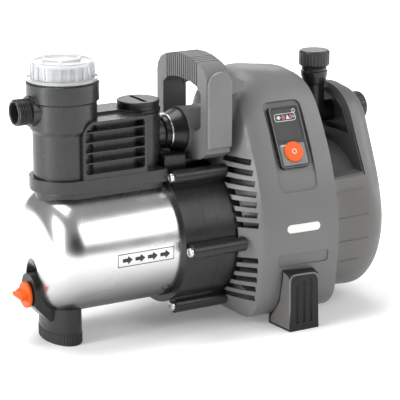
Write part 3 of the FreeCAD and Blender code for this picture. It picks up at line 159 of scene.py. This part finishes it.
def make_material(name, colour, rough, metallic=0.0, mottle=0.07, cloud=16.0, grain=1100.0,
                  grain_strength=0.12, rough_var=0.05, stretch=(1, 1, 1), wear=0.25,
                  wear_to=1.5, specular=0.5):
    """Clouded colour, worn edges, uneven gloss and a fine grain."""
    g = Graph(name)
    normal, edges = g.edge_wear(EDGE_RADIUS)
    clouds = g.spread(g.noise(cloud), 0.0, 1.0)
    body = g.blend(clouds, shade(colour, 1 - mottle), shade(colour, 1 + mottle))
    scuffs = g.noise(cloud * SCUFF_FINER, detail=SCUFF_DETAIL)
    amount = g.add("ShaderNodeMath", operation="MULTIPLY")
    g.join(edges, amount.inputs[0])
    g.join(g.spread(scuffs, SCUFF_LEAST, wear, *SCUFF_BAND), amount.inputs[1])
    worn = g.blend(amount.outputs["Value"], body, shade(colour, wear_to))
    g.join(worn, g.bsdf.inputs["Base Color"])
    gloss = g.spread(g.noise(cloud * GLOSS_FINER), rough - rough_var, rough + rough_var)
    g.join(gloss, g.bsdf.inputs["Roughness"])
    fine = g.noise(grain, stretch, GRAIN_DETAIL)
    g.join(g.bump(fine, grain_strength, GRAIN_DEPTH, normal), g.bsdf.inputs["Normal"])
    g.bsdf.inputs["Metallic"].default_value = metallic
    g.bsdf.inputs["Specular IOR Level"].default_value = specular
    return g


def plain(name, colour, rough, **more):
    return make_material(name, colour, rough, **more).material


BLACK = plain("black_moulded", (0.011, 0.011, 0.012), 0.31, grain_strength=0.10,
              specular=0.42)
DARK = plain("dark_moulded", (0.022, 0.023, 0.024), 0.27, grain_strength=0.10)
GREY = plain("grey_textured", (0.150, 0.149, 0.147), 0.40, mottle=0.04, grain=1500.0,
             grain_strength=0.22, wear_to=1.35)
LIGHT_GREY = plain("light_grey_textured", (0.170, 0.170, 0.168), 0.42, mottle=0.04,
                   grain=1500.0, grain_strength=0.22, wear_to=1.35)
REAR_GREY = plain("rear_grey_textured", (0.112, 0.109, 0.106), 0.44, mottle=0.04, grain=1500.0,
                  grain_strength=0.22, wear_to=1.35)
FOOT_BLACK = plain("foot_moulded", (0.011, 0.011, 0.012), 0.42, grain_strength=0.2,
                   specular=0.3)
RUBBER = plain("rubber_black", (0.02, 0.02, 0.02), 0.62, grain=700.0, grain_strength=0.3)
ORANGE = plain("orange_moulded", (0.84, 0.100, 0.004), 0.36, mottle=0.05, specular=0.28,
               wear_to=1.2)
WHITE = plain("white_moulded", (0.82, 0.82, 0.80), 0.36, mottle=0.03, wear_to=1.05)
FASCIA = plain("fascia_dark", (0.028, 0.028, 0.027), 0.34, grain_strength=0.03,
               specular=0.35)
RECESS = plain("recess_moulded", (0.078, 0.076, 0.075), 0.44, grain_strength=0.2,
               specular=0.35)
FIELD = plain("fascia_field", (0.165, 0.172, 0.170), 0.38, grain_strength=0.06)
PRINT_DARK = plain("print_dark", (0.03, 0.03, 0.03), 0.5)
PRINT_LIGHT = plain("print_light", (0.62, 0.64, 0.63), 0.42, mottle=0.04)
PRINT_RIM = plain("print_rim", (0.30, 0.31, 0.31), 0.38, mottle=0.04)
PRINT_TEAL = plain("print_teal", (0.18, 0.36, 0.34), 0.42, mottle=0.06)
PRINT_RED = plain("print_red", (0.42, 0.09, 0.10), 0.42, mottle=0.06)
STEEL = plain("steel_bright", (0.66, 0.66, 0.66), 0.26, metallic=1.0, mottle=0.1, cloud=240.0,
              grain=2200.0, grain_strength=0.25, rough_var=0.1)
STAGE = plain("stage_moulded", (0.10, 0.10, 0.11), 0.4)
CARBON = plain("seal_carbon_lapped", (0.09, 0.09, 0.09), 0.2, mottle=0.1)
ALUMINIUM = plain("cast_aluminium_rough", (0.48, 0.48, 0.49), 0.46, metallic=1.0, mottle=0.12,
                  cloud=60.0, grain=900.0, grain_strength=0.6)
BOARD = plain("board_green", (0.02, 0.12, 0.05), 0.34, mottle=0.12, cloud=120.0)

# painted shade for down-facing steel, standing in for a dark reflection of the floor
UNDERSIDE_PAINTED_SHADE = (0.13, 0.13, 0.135, 1.0)
PAINTED_SHADE_BAND = (-0.85, -0.05)        # upward part of the normal, painted shade to full colour


def barrel_steel():
    """Drawn stainless steel, brushed round the barrel, with painted shade darkening its colour where
    it faces down.
    """
    g = make_material("steel_brushed", (0.70, 0.70, 0.705), 0.25, metallic=1.0, mottle=0.03,
                      cloud=9.0, grain=30.0, grain_strength=0.05, stretch=(90.0, 1.2, 1.2),
                      rough_var=0.035, wear=0.1, wear_to=1.1)
    facing = g.add("ShaderNodeSeparateXYZ")
    g.join(g.add("ShaderNodeNewGeometry").outputs["Normal"], facing.inputs["Vector"])
    # painted shade: the steel's colour goes dark where the normal points down
    painted_shade = g.spread(facing.outputs["Z"], 0.0, 1.0, *PAINTED_SHADE_BAND)
    brushed = g.bsdf.inputs["Base Color"].links[0].from_socket
    g.join(g.blend(painted_shade, UNDERSIDE_PAINTED_SHADE, brushed), g.bsdf.inputs["Base Color"])
    return g.material


def laminated(sheets=320.0, strength=0.6, depth=0.0002):
    """Stacked core sheets with fine lines across the shaft."""
    g = make_material("core_laminated", (0.20, 0.19, 0.18), 0.45, metallic=0.8, mottle=0.2,
                      cloud=80.0)
    wave = g.add("ShaderNodeTexWave", bands_direction="X")
    wave.inputs["Scale"].default_value = sheets
    g.join(g.place, wave.inputs["Vector"])
    g.join(g.bump(wave.outputs["Fac"], strength, depth), g.bsdf.inputs["Normal"])
    return g.material


def enamelled(lines=40.0, stretch=(3.0, 30.0, 30.0), strength=0.8, depth=0.0005):
    """Enamelled copper wire with winding lines."""
    g = make_material("copper_enamelled", (0.62, 0.22, 0.07), 0.3, metallic=0.85, mottle=0.2,
                      cloud=140.0)
    g.join(g.bump(g.noise(lines, stretch), strength, depth), g.bsdf.inputs["Normal"])
    return g.material


def clear_moulded(transmission=0.72, ior=1.46):
    """Clear plastic of the filter lid, slightly frosted inside."""
    g = make_material("clear_moulded", (0.93, 0.94, 0.95), 0.08, mottle=0.02, wear=0.05,
                      grain_strength=0.05, rough_var=0.04)
    g.bsdf.inputs["Transmission Weight"].default_value = transmission
    g.bsdf.inputs["IOR"].default_value = ior
    return g.material


MATERIALS = {
    "stainless_steel": barrel_steel(), "dark_plastic": DARK, "black_plastic": BLACK,
    "rubber": RUBBER, "orange_plastic": ORANGE, "clear_plastic": clear_moulded(),
    "white_plastic": WHITE, "grey_plastic": GREY, "light_grey_plastic": LIGHT_GREY,
    "display_plastic": FASCIA, "bright_metal": STEEL, "stage_plastic": STAGE,
    "seal_carbon": CARBON, "core_steel": laminated(), "copper": enamelled(),
    "cast_aluminium": ALUMINIUM, "component_plastic": BOARD,
}
SPECIAL = {"rear_cover": REAR_GREY, "rear_foot_near": FOOT_BLACK, "rear_foot_far": FOOT_BLACK,
           "recess_liner": RECESS, "capacitor": BLACK,
           "top_outlet_cap": DARK, "rear_outlet_cap": DARK}
CAD_ANGLE, PIECE_ANGLE = 32, 40        # degrees, edges below this are shaded smooth
RENDER_WELD, BUILD_WELD = 1e-6, 1e-7   # metres


def soften(piece, angle):
    """Smooth shading that keeps the edges sharper than angle."""
    mesh = piece.data
    mesh.polygons.foreach_set("use_smooth", [True] * len(mesh.polygons))
    if "custom_normal" in mesh.attributes:
        mesh.attributes.remove(mesh.attributes["custom_normal"])
    weld = piece.modifiers.new("weld", "WELD")
    weld.merge_threshold = RENDER_WELD
    split = piece.modifiers.new("split", "EDGE_SPLIT")
    split.split_angle = math.radians(angle)
    split.use_edge_sharp = False


for part in frame["record"]["subparts"]:
    cad = frame["nodes"][part["node"]]
    cad.data.materials.clear()
    cad.data.materials.append(SPECIAL.get(part["node"], MATERIALS[part["material_slot"]]))
    soften(cad, CAD_ANGLE)


# ---- mesh helpers ------------------------------------------------------------
BEAD_SIDES, BEAD_END = 8, 0.35         # bead cross-section, and its size at an open end
RIM_START, RIM_MIDDLE = 0.5, (0.35, 0.15)   # rims below the top, then rims inward and below
TOP_RINGS = (0.66, 0.33)               # rings across the top, as shares of its edge
RAY_START = 200.0                      # outside the pump on either side


def new_object(name, bm):
    mesh = bpy.data.meshes.new(name)
    bm.to_mesh(mesh)
    bm.free()
    piece = bpy.data.objects.new(name, mesh)
    bpy.context.scene.collection.objects.link(piece)
    return piece


def finish_piece(name, bm, body, material):
    bmesh.ops.remove_doubles(bm, verts=bm.verts, dist=BUILD_WELD)
    bmesh.ops.recalc_face_normals(bm, faces=bm.faces)
    piece = new_object(name, bm)
    piece.data.materials.append(material)
    soften(piece, PIECE_ANGLE)
    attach(piece, body)
    return piece


def bridge(bm, rings, closed_path=False):
    """Quads between rings that have the same number of vertices."""
    pairs = list(zip(rings, rings[1:]))
    if closed_path:
        pairs.append((rings[-1], rings[0]))
    for a, b in pairs:
        for i in range(len(a)):
            j = (i + 1) % len(a)
            bm.faces.new((a[i], a[j], b[j], b[i]))


def sweep(bm, path, width, height, normals):
    """Rounded bead along an open path, width across and height off the surface, in mm."""
    rings = []
    last = len(path) - 1
    for i, point in enumerate(path):
        along = (path[min(i + 1, last)] - path[max(i - 1, 0)]).normalized()
        up = (normals[i] - along * normals[i].dot(along)).normalized()
        across = along.cross(up)
        scale = 1.0 if 0 < i < last else BEAD_END
        ring = []
        for k in range(BEAD_SIDES):
            a = 2 * math.pi * k / BEAD_SIDES
            offset = across * (width / 2 * scale * math.cos(a)) + up * (height * scale * math.sin(a))
            ring.append(bm.verts.new((point + offset) * MILLI))
        rings.append(ring)
    bridge(bm, rings)
    bm.faces.new(list(reversed(rings[0])))
    bm.faces.new(rings[-1])


def raised(bm, outline, place, low, high, rim=0.3):
    """Thin raised shape with a rounded rim. place(u, v, h) gives its 3-D points in mm."""
    cu = sum(p[0] for p in outline) / len(outline)
    cv = sum(p[1] for p in outline) / len(outline)
    reach = max(math.hypot(p[0] - cu, p[1] - cv) for p in outline)

    def ring(scale, h):
        return [bm.verts.new(place(cu + (u - cu) * scale, cv + (v - cv) * scale, h) * MILLI)
                for u, v in outline]

    inward, down = RIM_MIDDLE
    inset = 1 - rim / reach
    steps = [(1.0, low), (1.0, high - rim * RIM_START),
             (1 - rim * inward / reach, high - rim * down), (inset, high)]
    steps += [(inset * share, high) for share in TOP_RINGS]
    rings = [ring(scale, h) for scale, h in steps]
    bridge(bm, rings)
    top = bm.verts.new(place(cu, cv, high) * MILLI)
    bottom = bm.verts.new(place(cu, cv, low) * MILLI)
    for i in range(len(outline)):
        j = (i + 1) % len(outline)
        bm.faces.new((rings[-1][i], rings[-1][j], top))
        bm.faces.new((rings[0][j], rings[0][i], bottom))


def hollow(bm, outer, inner, place, low, high):
    """Flat frame between two outlines with the same number of points."""
    rings = [[bm.verts.new(place(u, v, h) * MILLI) for u, v in line]
             for line, h in ((outer, low), (outer, high), (inner, high), (inner, low))]
    bridge(bm, rings, True)


def round_box(w, h, r, u=0.0, v=0.0, steps=6, edge=8):
    """Rounded rectangle outline, centred on (u, v), with edge pieces to each straight."""
    x, y = w / 2 - r, h / 2 - r
    points = []
    for cu, cv, start, (end_u, end_v) in ((x, y, 0, (-x, h / 2)), (-x, y, 90, (-w / 2, -y)),
                                          (-x, -y, 180, (x, -h / 2)), (x, -y, 270, (w / 2, y))):
        for k in range(steps + 1):
            a = math.radians(start + 90 * k / steps)
            points.append((u + cu + r * math.cos(a), v + cv + r * math.sin(a)))
        from_u, from_v = points[-1][0] - u, points[-1][1] - v
        for k in range(1, edge):
            points.append((u + from_u + (end_u - from_u) * k / edge,
                           v + from_v + (end_v - from_v) * k / edge))
    return points


def border(bm, place, size, radii, line, centre, low, high):
    """Line along the inside of a rounded rectangle. radii are its outer and inner corners."""
    (w, h), (outer, inner), (u, v) = size, radii, centre
    hollow(bm, round_box(w, h, outer, u, v),
           round_box(w - 2 * line, h - 2 * line, inner, u, v), place, low, high)


def circle(r, u=0.0, v=0.0, steps=32):
    return [(u + r * math.cos(2 * math.pi * k / steps), v + r * math.sin(2 * math.pi * k / steps))
            for k in range(steps)]


def toward(outline, r, u, v):
    """Circle points that face the points of an outline, for hollow()."""
    angles = [math.atan2(pv - v, pu - u) for pu, pv in outline]
    return [(u + r * math.cos(a), v + r * math.sin(a)) for a in angles]


def on_panel(u, v, h):
    """Maps (across, up the panel, height) onto the tilted control panel."""
    c, s = math.cos(PANEL_TILT), math.sin(PANEL_TILT)
    return PANEL_CENTRE + Vector((u, v * c - h * s, v * s + h * c))


def on_barrel(x, angle, h):
    """Maps (x, degrees up from the near side, height) onto the barrel."""
    a = math.radians(angle)
    r = BARREL_R + h
    return Vector((x, -r * math.cos(a), AXIS_Z + r * math.sin(a)))


def surface_of(node):
    mesh = frame["nodes"][node].data
    return BVHTree.FromPolygons([v.co.copy() for v in mesh.vertices],
                                [tuple(p.vertices) for p in mesh.polygons])


def on_side(tree, side):
    """Maps (x, z, height) onto a cover seen from its near or far side."""
    def place(x, z, h):
        hit, normal, _, _ = tree.ray_cast(mm(x, side * RAY_START, z), Vector((0, -side, 0)))
        if normal.y * side < 0:
            normal = -normal
        return hit / MILLI + normal * h
    return place


# ---- badge on the hood, without lettering ------------------------------------
BADGE_X, BADGE_Z = 90.0, 133.0
BADGE_W, BADGE_H, BADGE_R = 48.0, 10.6, 5.25
BADGE_FACE = 0.9
SUNK = -0.3                            # how far raised pieces reach into the CAD's surface


def badge():
    bm = bmesh.new()
    raised(bm, round_box(BADGE_W, BADGE_H, BADGE_R, BADGE_X, BADGE_Z),
           on_side(surface_of("motor_hood"), NEAR), SUNK, BADGE_FACE)
    finish_piece("badge_plate", bm, ROOT, WHITE)


# ---- ribs along the rear cover ------------------------------------------------
RIB_X = 146.5
RIBS = ((167.0, 196.0), (133.0, 200.0), (101.0, 198.0), (73.0, 188.0))   # z, and x at the end
RIB_W, RIB_H, RIB_LIFT, RIB_STEPS = 1.7, 0.9, 0.15, 16


def cover_ribs(tree, side, label):
    place = on_side(tree, side)
    bm = bmesh.new()
    for z, end in RIBS:
        path = [place(RIB_X + (end - RIB_X) * k / RIB_STEPS, z, RIB_LIFT)
                for k in range(RIB_STEPS + 1)]
        sweep(bm, path, RIB_W, RIB_H, [Vector((0, side, 0))] * len(path))
    finish_piece("cover_ribs_" + label, bm, ROOT, REAR_GREY)


# ---- grey flank and rim of the rear feet --------------------------------------
FLANK = [(93.0, 3.0), (132.6, 3.0), (132.6, 70.0), (129.0, 74.0), (120.0, 77.0), (119.0, 68.0),
         (111.5, 34.0), (100.0, 20.0), (93.0, 10.0)]                    # y and z
FLANK_X, FLANK_Y, FLANK_W = 60.0, 88.0, 46.0
FLANK_BACK, FLANK_RISE = 3.5, 80.0     # slant over the width, 1 mm less at this height
FLANK_FACE = 0.6
RIM = [(63.4, 13.0), (63.2, 28.0), (63.0, 44.0), (62.9, 60.0), (63.0, 67.0), (64.2, 71.6),
       (67.4, 74.6), (72.0, 75.3), (84.0, 75.0), (96.0, 74.5), (101.0, 73.6), (104.0, 70.5),
       (105.0, 66.0)]                                                   # x and z
RIM_Y, RIM_W, RIM_H = 133.1, 2.2, 0.85


def on_flank(side):
    """Maps (y, z, height) onto the face of a rear foot that looks to -X."""
    def place(y, z, h):
        back = (y - FLANK_Y) / FLANK_W * (FLANK_BACK - z / FLANK_RISE)
        return Vector((FLANK_X + back - h, side * y, z))
    return place


def foot_details(side, label):
    bm = bmesh.new()
    raised(bm, FLANK, on_flank(side), SUNK, FLANK_FACE)
    finish_piece("foot_flank_" + label, bm, ROOT, REAR_GREY)
    bm = bmesh.new()
    path = [Vector((x, side * RIM_Y, z)) for x, z in RIM]
    sweep(bm, path, RIM_W, RIM_H, [Vector((0, side, 0))] * len(path))
    finish_piece("foot_rim_" + label, bm, ROOT, LIGHT_GREY)


# ---- black sheets behind the air slots of the hood, painted shade for its dark inside ---
SHADE_SHEET_EDGE = [(70.0, 250.0), (82.0, 228.0), (97.0, 200.0), (104.5, 160.0), (106.0, 137.0),
               (106.0, 103.0), (101.0, 68.0), (94.0, 36.0)]             # y and z
SHADE_SHEET_OUTER_X, SHADE_SHEET_INNER_X, SHADE_SHEET_INNER_R = 38.0, 21.0, 88.0
SHADE_SHEET_STEPS, SHADE_SHEET_THICK = 4, 0.9


def slot_shade_sheet(side, label):
    bm = bmesh.new()
    rows = []
    for y, z in SHADE_SHEET_EDGE:
        a = math.atan2(z - AXIS_Z, y)
        inner = Vector((SHADE_SHEET_INNER_X, SHADE_SHEET_INNER_R * math.cos(a),
                        AXIS_Z + SHADE_SHEET_INNER_R * math.sin(a)))
        outer = Vector((SHADE_SHEET_OUTER_X, y, z))
        row = [inner.lerp(outer, k / SHADE_SHEET_STEPS) for k in range(SHADE_SHEET_STEPS + 1)]
        row += [p + Vector((SHADE_SHEET_THICK, 0, 0)) for p in reversed(row)]
        rows.append([bm.verts.new(mm(p.x, side * p.y, p.z)) for p in row])
    bridge(bm, rows)
    bm.faces.new(rows[0])
    bm.faces.new(list(reversed(rows[-1])))
    # black sheet: painted shade seen through the air slots
    finish_piece("slot_shade_sheet_" + label, bm, ROOT, BLACK)


# ---- label on the barrel: an outline and flow arrows, no lettering ------------
LABEL_CENTRE = (-115.5, -1.7)          # x and degrees
LABEL_SIZE, LABEL_RADII, LABEL_LINE = (79.0, 12.2), (0.6, 0.4), 0.7
INK_LOW, INK_HIGH, INK_RIM = -0.05, 0.12, 0.05
ARROWS, ARROW_X, ARROW_PITCH = 4, -148.5, 17.6
ARROW_SHAFT, ARROW_LENGTH = 8.0, 14.0
SHAFT_HALF, HEAD_HALF = 1.7, 3.7


def arrow(x, v):
    neck, tip = x + ARROW_SHAFT, x + ARROW_LENGTH
    return [(x, v + SHAFT_HALF), (neck, v + SHAFT_HALF), (neck, v + HEAD_HALF), (tip, v),
            (neck, v - HEAD_HALF), (neck, v - SHAFT_HALF), (x, v - SHAFT_HALF), (x, v)]


def barrel_label():
    bm = bmesh.new()
    border(bm, on_barrel, LABEL_SIZE, LABEL_RADII, LABEL_LINE, LABEL_CENTRE, INK_LOW, INK_HIGH)
    finish_piece("label_outline", bm, ROOT, PRINT_DARK)
    bm = bmesh.new()
    for k in range(ARROWS):
        outline = arrow(ARROW_X + ARROW_PITCH * k, LABEL_CENTRE[1])
        raised(bm, outline, on_barrel, INK_LOW, INK_HIGH, INK_RIM)
    finish_piece("label_arrows", bm, ROOT, PRINT_DARK)


# ---- control panel: u across, v up the panel, heights off its plane -----------
LINE_SIZE, LINE_RADII, LINE_W = (43.6, 80.6), (5.6, 5.3), 0.35
LINE_LOW, LINE_HIGH = 1.1, 1.4
FIELD_W, FIELD_H, FIELD_R, FIELD_V = 37.2, 28.2, 2.0, -23.5
FIELD_LOW, FIELD_HIGH, FIELD_HOLE_R = 0.25, 0.85, 13.75
GLASS, PRINT_FACE, PRINT_ROUND = 0.55, 0.82, 0.12
ICON_V, ICON_H, ICON_R = 25.2, 5.6, 0.8
STRIP_CENTRE, STRIP_SIZE = (-0.6, ICON_V), (31.5, 10.4)
STRIP_RADII, STRIP_LINE = (3.2, 2.5), 0.8
MARK_W, MARK_H, MARK_R = 11.0, 1.6, 0.7
MARK_U, MARK_V = -11.0, -11.4
MARK_LOW, MARK_FACE, MARK_ROUND = 0.8, 1.0, 0.2
LAMP = (13.6, 32.6)
LAMP_RING, LAMP_RING_HOLE, LAMP_RING_FACE = 2.6, 1.7, 0.95
LAMP_LENS, LAMP_LENS_FACE, LAMP_LENS_ROUND = 1.6, 0.9, 0.5
BUTTON_RING, BUTTON_RING_HOLE = 3.4, 2.3
BUTTON_RING_LOW, BUTTON_RING_FACE = BUTTON_FRONT - 0.3, BUTTON_FRONT + 0.2


def fascia():
    bm = bmesh.new()
    border(bm, on_panel, LINE_SIZE, LINE_RADII, LINE_W, (0.0, 0.0), LINE_LOW, LINE_HIGH)
    finish_piece("fascia_line", bm, ROOT, PRINT_RIM)
    bm = bmesh.new()
    field = round_box(FIELD_W, FIELD_H, FIELD_R, 0.0, FIELD_V)
    hollow(bm, field, toward(field, FIELD_HOLE_R, 0.0, BUTTON_V), on_panel, FIELD_LOW, FIELD_HIGH)
    finish_piece("fascia_field_plate", bm, ROOT, FIELD)


def diamond(u, v, half_w, half_h):
    return [(u - half_w, v), (u, v + half_h), (u + half_w, v), (u, v - half_h)]


def triangle(u, low, high, half_w):
    return [(u - half_w, low), (u + half_w, low), (u, high)]


def icon_block(u, width):
    return round_box(width, ICON_H, ICON_R, u, ICON_V, steps=3, edge=2)


def icons():
    bm = bmesh.new()
    border(bm, on_panel, STRIP_SIZE, STRIP_RADII, STRIP_LINE, STRIP_CENTRE, GLASS, PRINT_FACE)
    finish_piece("icon_strip", bm, ROOT, PRINT_LIGHT)
    shapes = {
        "icon_diamond": (diamond(-10.2, ICON_V, 3.4, 3.0), PRINT_LIGHT),
        "icon_block_a": (icon_block(-3.2, 4.4), PRINT_RED),
        "icon_triangle": (triangle(3.2, ICON_V - 2.8, ICON_V + 3.2, 3.0), PRINT_LIGHT),
        "icon_block_b": (icon_block(8.2, 3.2), PRINT_RED),
        "icon_dot": (circle(1.9, 12.0, ICON_V, steps=20), PRINT_TEAL),
    }
    for name, (outline, material) in shapes.items():
        bm = bmesh.new()
        raised(bm, outline, on_panel, GLASS, PRINT_FACE, PRINT_ROUND)
        finish_piece(name, bm, ROOT, material)


def lamp():
    bm = bmesh.new()
    hollow(bm, circle(LAMP_RING, *LAMP), circle(LAMP_RING_HOLE, *LAMP), on_panel, GLASS,
           LAMP_RING_FACE)
    finish_piece("lamp_ring", bm, ROOT, PRINT_LIGHT)
    bm = bmesh.new()
    raised(bm, circle(LAMP_LENS, *LAMP), on_panel, GLASS, LAMP_LENS_FACE, LAMP_LENS_ROUND)
    finish_piece("lamp_lens", bm, ROOT, BLACK)


def field_mark():
    bm = bmesh.new()
    outline = round_box(MARK_W, MARK_H, MARK_R, MARK_U, MARK_V, steps=4, edge=4)
    raised(bm, outline, on_panel, MARK_LOW, MARK_FACE, MARK_ROUND)
    finish_piece("field_mark", bm, ROOT, PRINT_LIGHT)


def button_mark():
    bm = bmesh.new()
    hollow(bm, circle(BUTTON_RING, 0.0, BUTTON_V), circle(BUTTON_RING_HOLE, 0.0, BUTTON_V),
           on_panel, BUTTON_RING_LOW, BUTTON_RING_FACE)
    finish_piece("button_ring_mark", bm, "power_button", PRINT_LIGHT)


# ---- check valve spring as a real coil ----------------------------------------
COIL_R, COIL_Z, COIL_LENGTH = 5.4, 193.4, 10.0
COIL_TURNS, COIL_STEPS = 4, 24
WIRE = 1.1


def valve_spring():
    bm = bmesh.new()
    path, outward = [], []
    for k in range(COIL_TURNS * COIL_STEPS + 1):
        turn = k / COIL_STEPS
        a = 2 * math.pi * turn
        out = Vector((math.cos(a), math.sin(a), 0))
        path.append(Vector((FILTER_X, 0, COIL_Z + COIL_LENGTH * turn / COIL_TURNS)) + out * COIL_R)
        outward.append(out)
    sweep(bm, path, WIRE, WIRE / 2, outward)
    spring = finish_piece("valve_spring_coil", bm, ROOT, STEEL)
    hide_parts("check_valve_spring")
    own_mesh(spring)


badge()
rear_tree = surface_of("rear_cover")
for side, label in SIDES:
    cover_ribs(rear_tree, side, label)
for side, label in SIDES:
    foot_details(side, label)
for side, label in SIDES:
    slot_shade_sheet(side, label)
barrel_label()
fascia()
icons()
lamp()
field_mark()
button_mark()
valve_spring()

# ---- studio, in metres ---------------------------------------------------------
FLOOR_HALF, FLOOR_STEPS, FLOOR_Z = 9.0, 6, -0.0002
GLOW, GLOW_BAND = (0.15, 0.85), (0.35, 1.3)      # floor's own light, over this distance
LIGHTS = (                                       # name, place, target, width, height, watts
    ("key", (1.2, -1.55, 1.42), (0, 0, 0.12), 1.9, 1.5, 22),
    ("left", (-2.1, -0.35, 0.95), (-0.1, 0, 0.15), 1.4, 1.8, 16),
    ("left_strip", (-2.05, -0.10, 0.75), (-0.15, 0, 0.2), 0.28, 1.5, 22),
    ("right_strip", (2.2, -0.45, 0.8), (-0.1, 0, 0.2), 0.28, 1.4, 15),
    ("top", (-0.2, 0.5, 2.3), (0, 0, 0.1), 1.8, 1.4, 44),
    ("back", (0.8, 2.0, 1.3), (0, 0, 0.2), 1.6, 1.0, 12),
)
SKY_COLOUR = (0.95, 0.96, 0.97, 1.0)
SKY_STRENGTH, GAP_STRENGTH = 0.32, 0.02          # the gap is the dark band in the barrel
GAP_DIRECTION, GAP_BAND = (-0.20, -0.96, 0.20), (0.80, 0.97)
CAMERA_PLACE = (-1.16862, -2.03488, 0.80578)
CAMERA_TURN, CAMERA_TILT = math.radians(30.03), math.radians(15.56)
CAMERA_LENS, CAMERA_SENSOR, CAMERA_CLIP = 168.43, 36.0, (0.05, 60.0)


def floor():
    """Pale floor that glows more with distance, so that it ends up white."""
    bm = bmesh.new()
    at = [-FLOOR_HALF + 2 * FLOOR_HALF * i / FLOOR_STEPS for i in range(FLOOR_STEPS + 1)]
    grid = [[bm.verts.new((x, y, FLOOR_Z)) for x in at] for y in at]
    for a, b in zip(grid, grid[1:]):
        for i in range(FLOOR_STEPS):
            bm.faces.new((a[i], a[i + 1], b[i + 1], b[i]))
    piece = new_object("floor", bm)
    pale = make_material("floor_pale", (0.90, 0.90, 0.90), 0.8, mottle=0.01,
                         grain_strength=0.02, wear=0.0)
    reach = pale.add("ShaderNodeVectorMath", operation="LENGTH")
    pale.join(pale.place, reach.inputs[0])
    pale.join(pale.spread(reach.outputs["Value"], *GLOW, *GLOW_BAND),
              pale.bsdf.inputs["Emission Strength"])
    pale.bsdf.inputs["Emission Color"].default_value = (1.0, 1.0, 1.0, 1.0)
    piece.data.materials.append(pale.material)


def area_light(name, place, target, width, height, watts):
    data = bpy.data.lights.new(name, "AREA")
    data.shape = "RECTANGLE"
    data.size, data.size_y, data.energy = width, height, watts
    light = bpy.data.objects.new(name, data)
    light.location = place
    light.rotation_euler = (Vector(target) - Vector(place)).to_track_quat("-Z", "Y").to_euler()
    bpy.context.scene.collection.objects.link(light)


def sky():
    """Even light, with a dark gap that the steel barrel mirrors as a vertical band."""
    world = bpy.data.worlds.new("studio")
    world.use_nodes = True
    nodes, links = world.node_tree.nodes, world.node_tree.links
    direction = nodes.new("ShaderNodeTexCoord")
    toward_gap = nodes.new("ShaderNodeVectorMath")
    toward_gap.operation = "DOT_PRODUCT"
    toward_gap.inputs[1].default_value = GAP_DIRECTION
    links.new(direction.outputs["Generated"], toward_gap.inputs[0])
    falloff = nodes.new("ShaderNodeMapRange")
    falloff.interpolation_type = "SMOOTHSTEP"
    falloff.inputs["From Min"].default_value, falloff.inputs["From Max"].default_value = GAP_BAND
    falloff.inputs["To Min"].default_value = SKY_STRENGTH
    falloff.inputs["To Max"].default_value = GAP_STRENGTH
    links.new(toward_gap.outputs["Value"], falloff.inputs["Value"])
    links.new(falloff.outputs["Result"], nodes["Background"].inputs["Strength"])
    nodes["Background"].inputs["Color"].default_value = SKY_COLOUR
    bpy.context.scene.world = world


def camera():
    data = bpy.data.cameras.new("camera")
    data.lens, data.sensor_width = CAMERA_LENS, CAMERA_SENSOR
    data.clip_start, data.clip_end = CAMERA_CLIP
    eye = bpy.data.objects.new("camera", data)
    eye.location = CAMERA_PLACE
    eye.rotation_euler = (math.pi / 2 - CAMERA_TILT, 0.0, -CAMERA_TURN)
    bpy.context.scene.collection.objects.link(eye)
    bpy.context.scene.camera = eye


floor()
for light in LIGHTS:
    area_light(*light)
sky()
camera()
bpy.context.scene.view_settings.view_transform = "Standard"
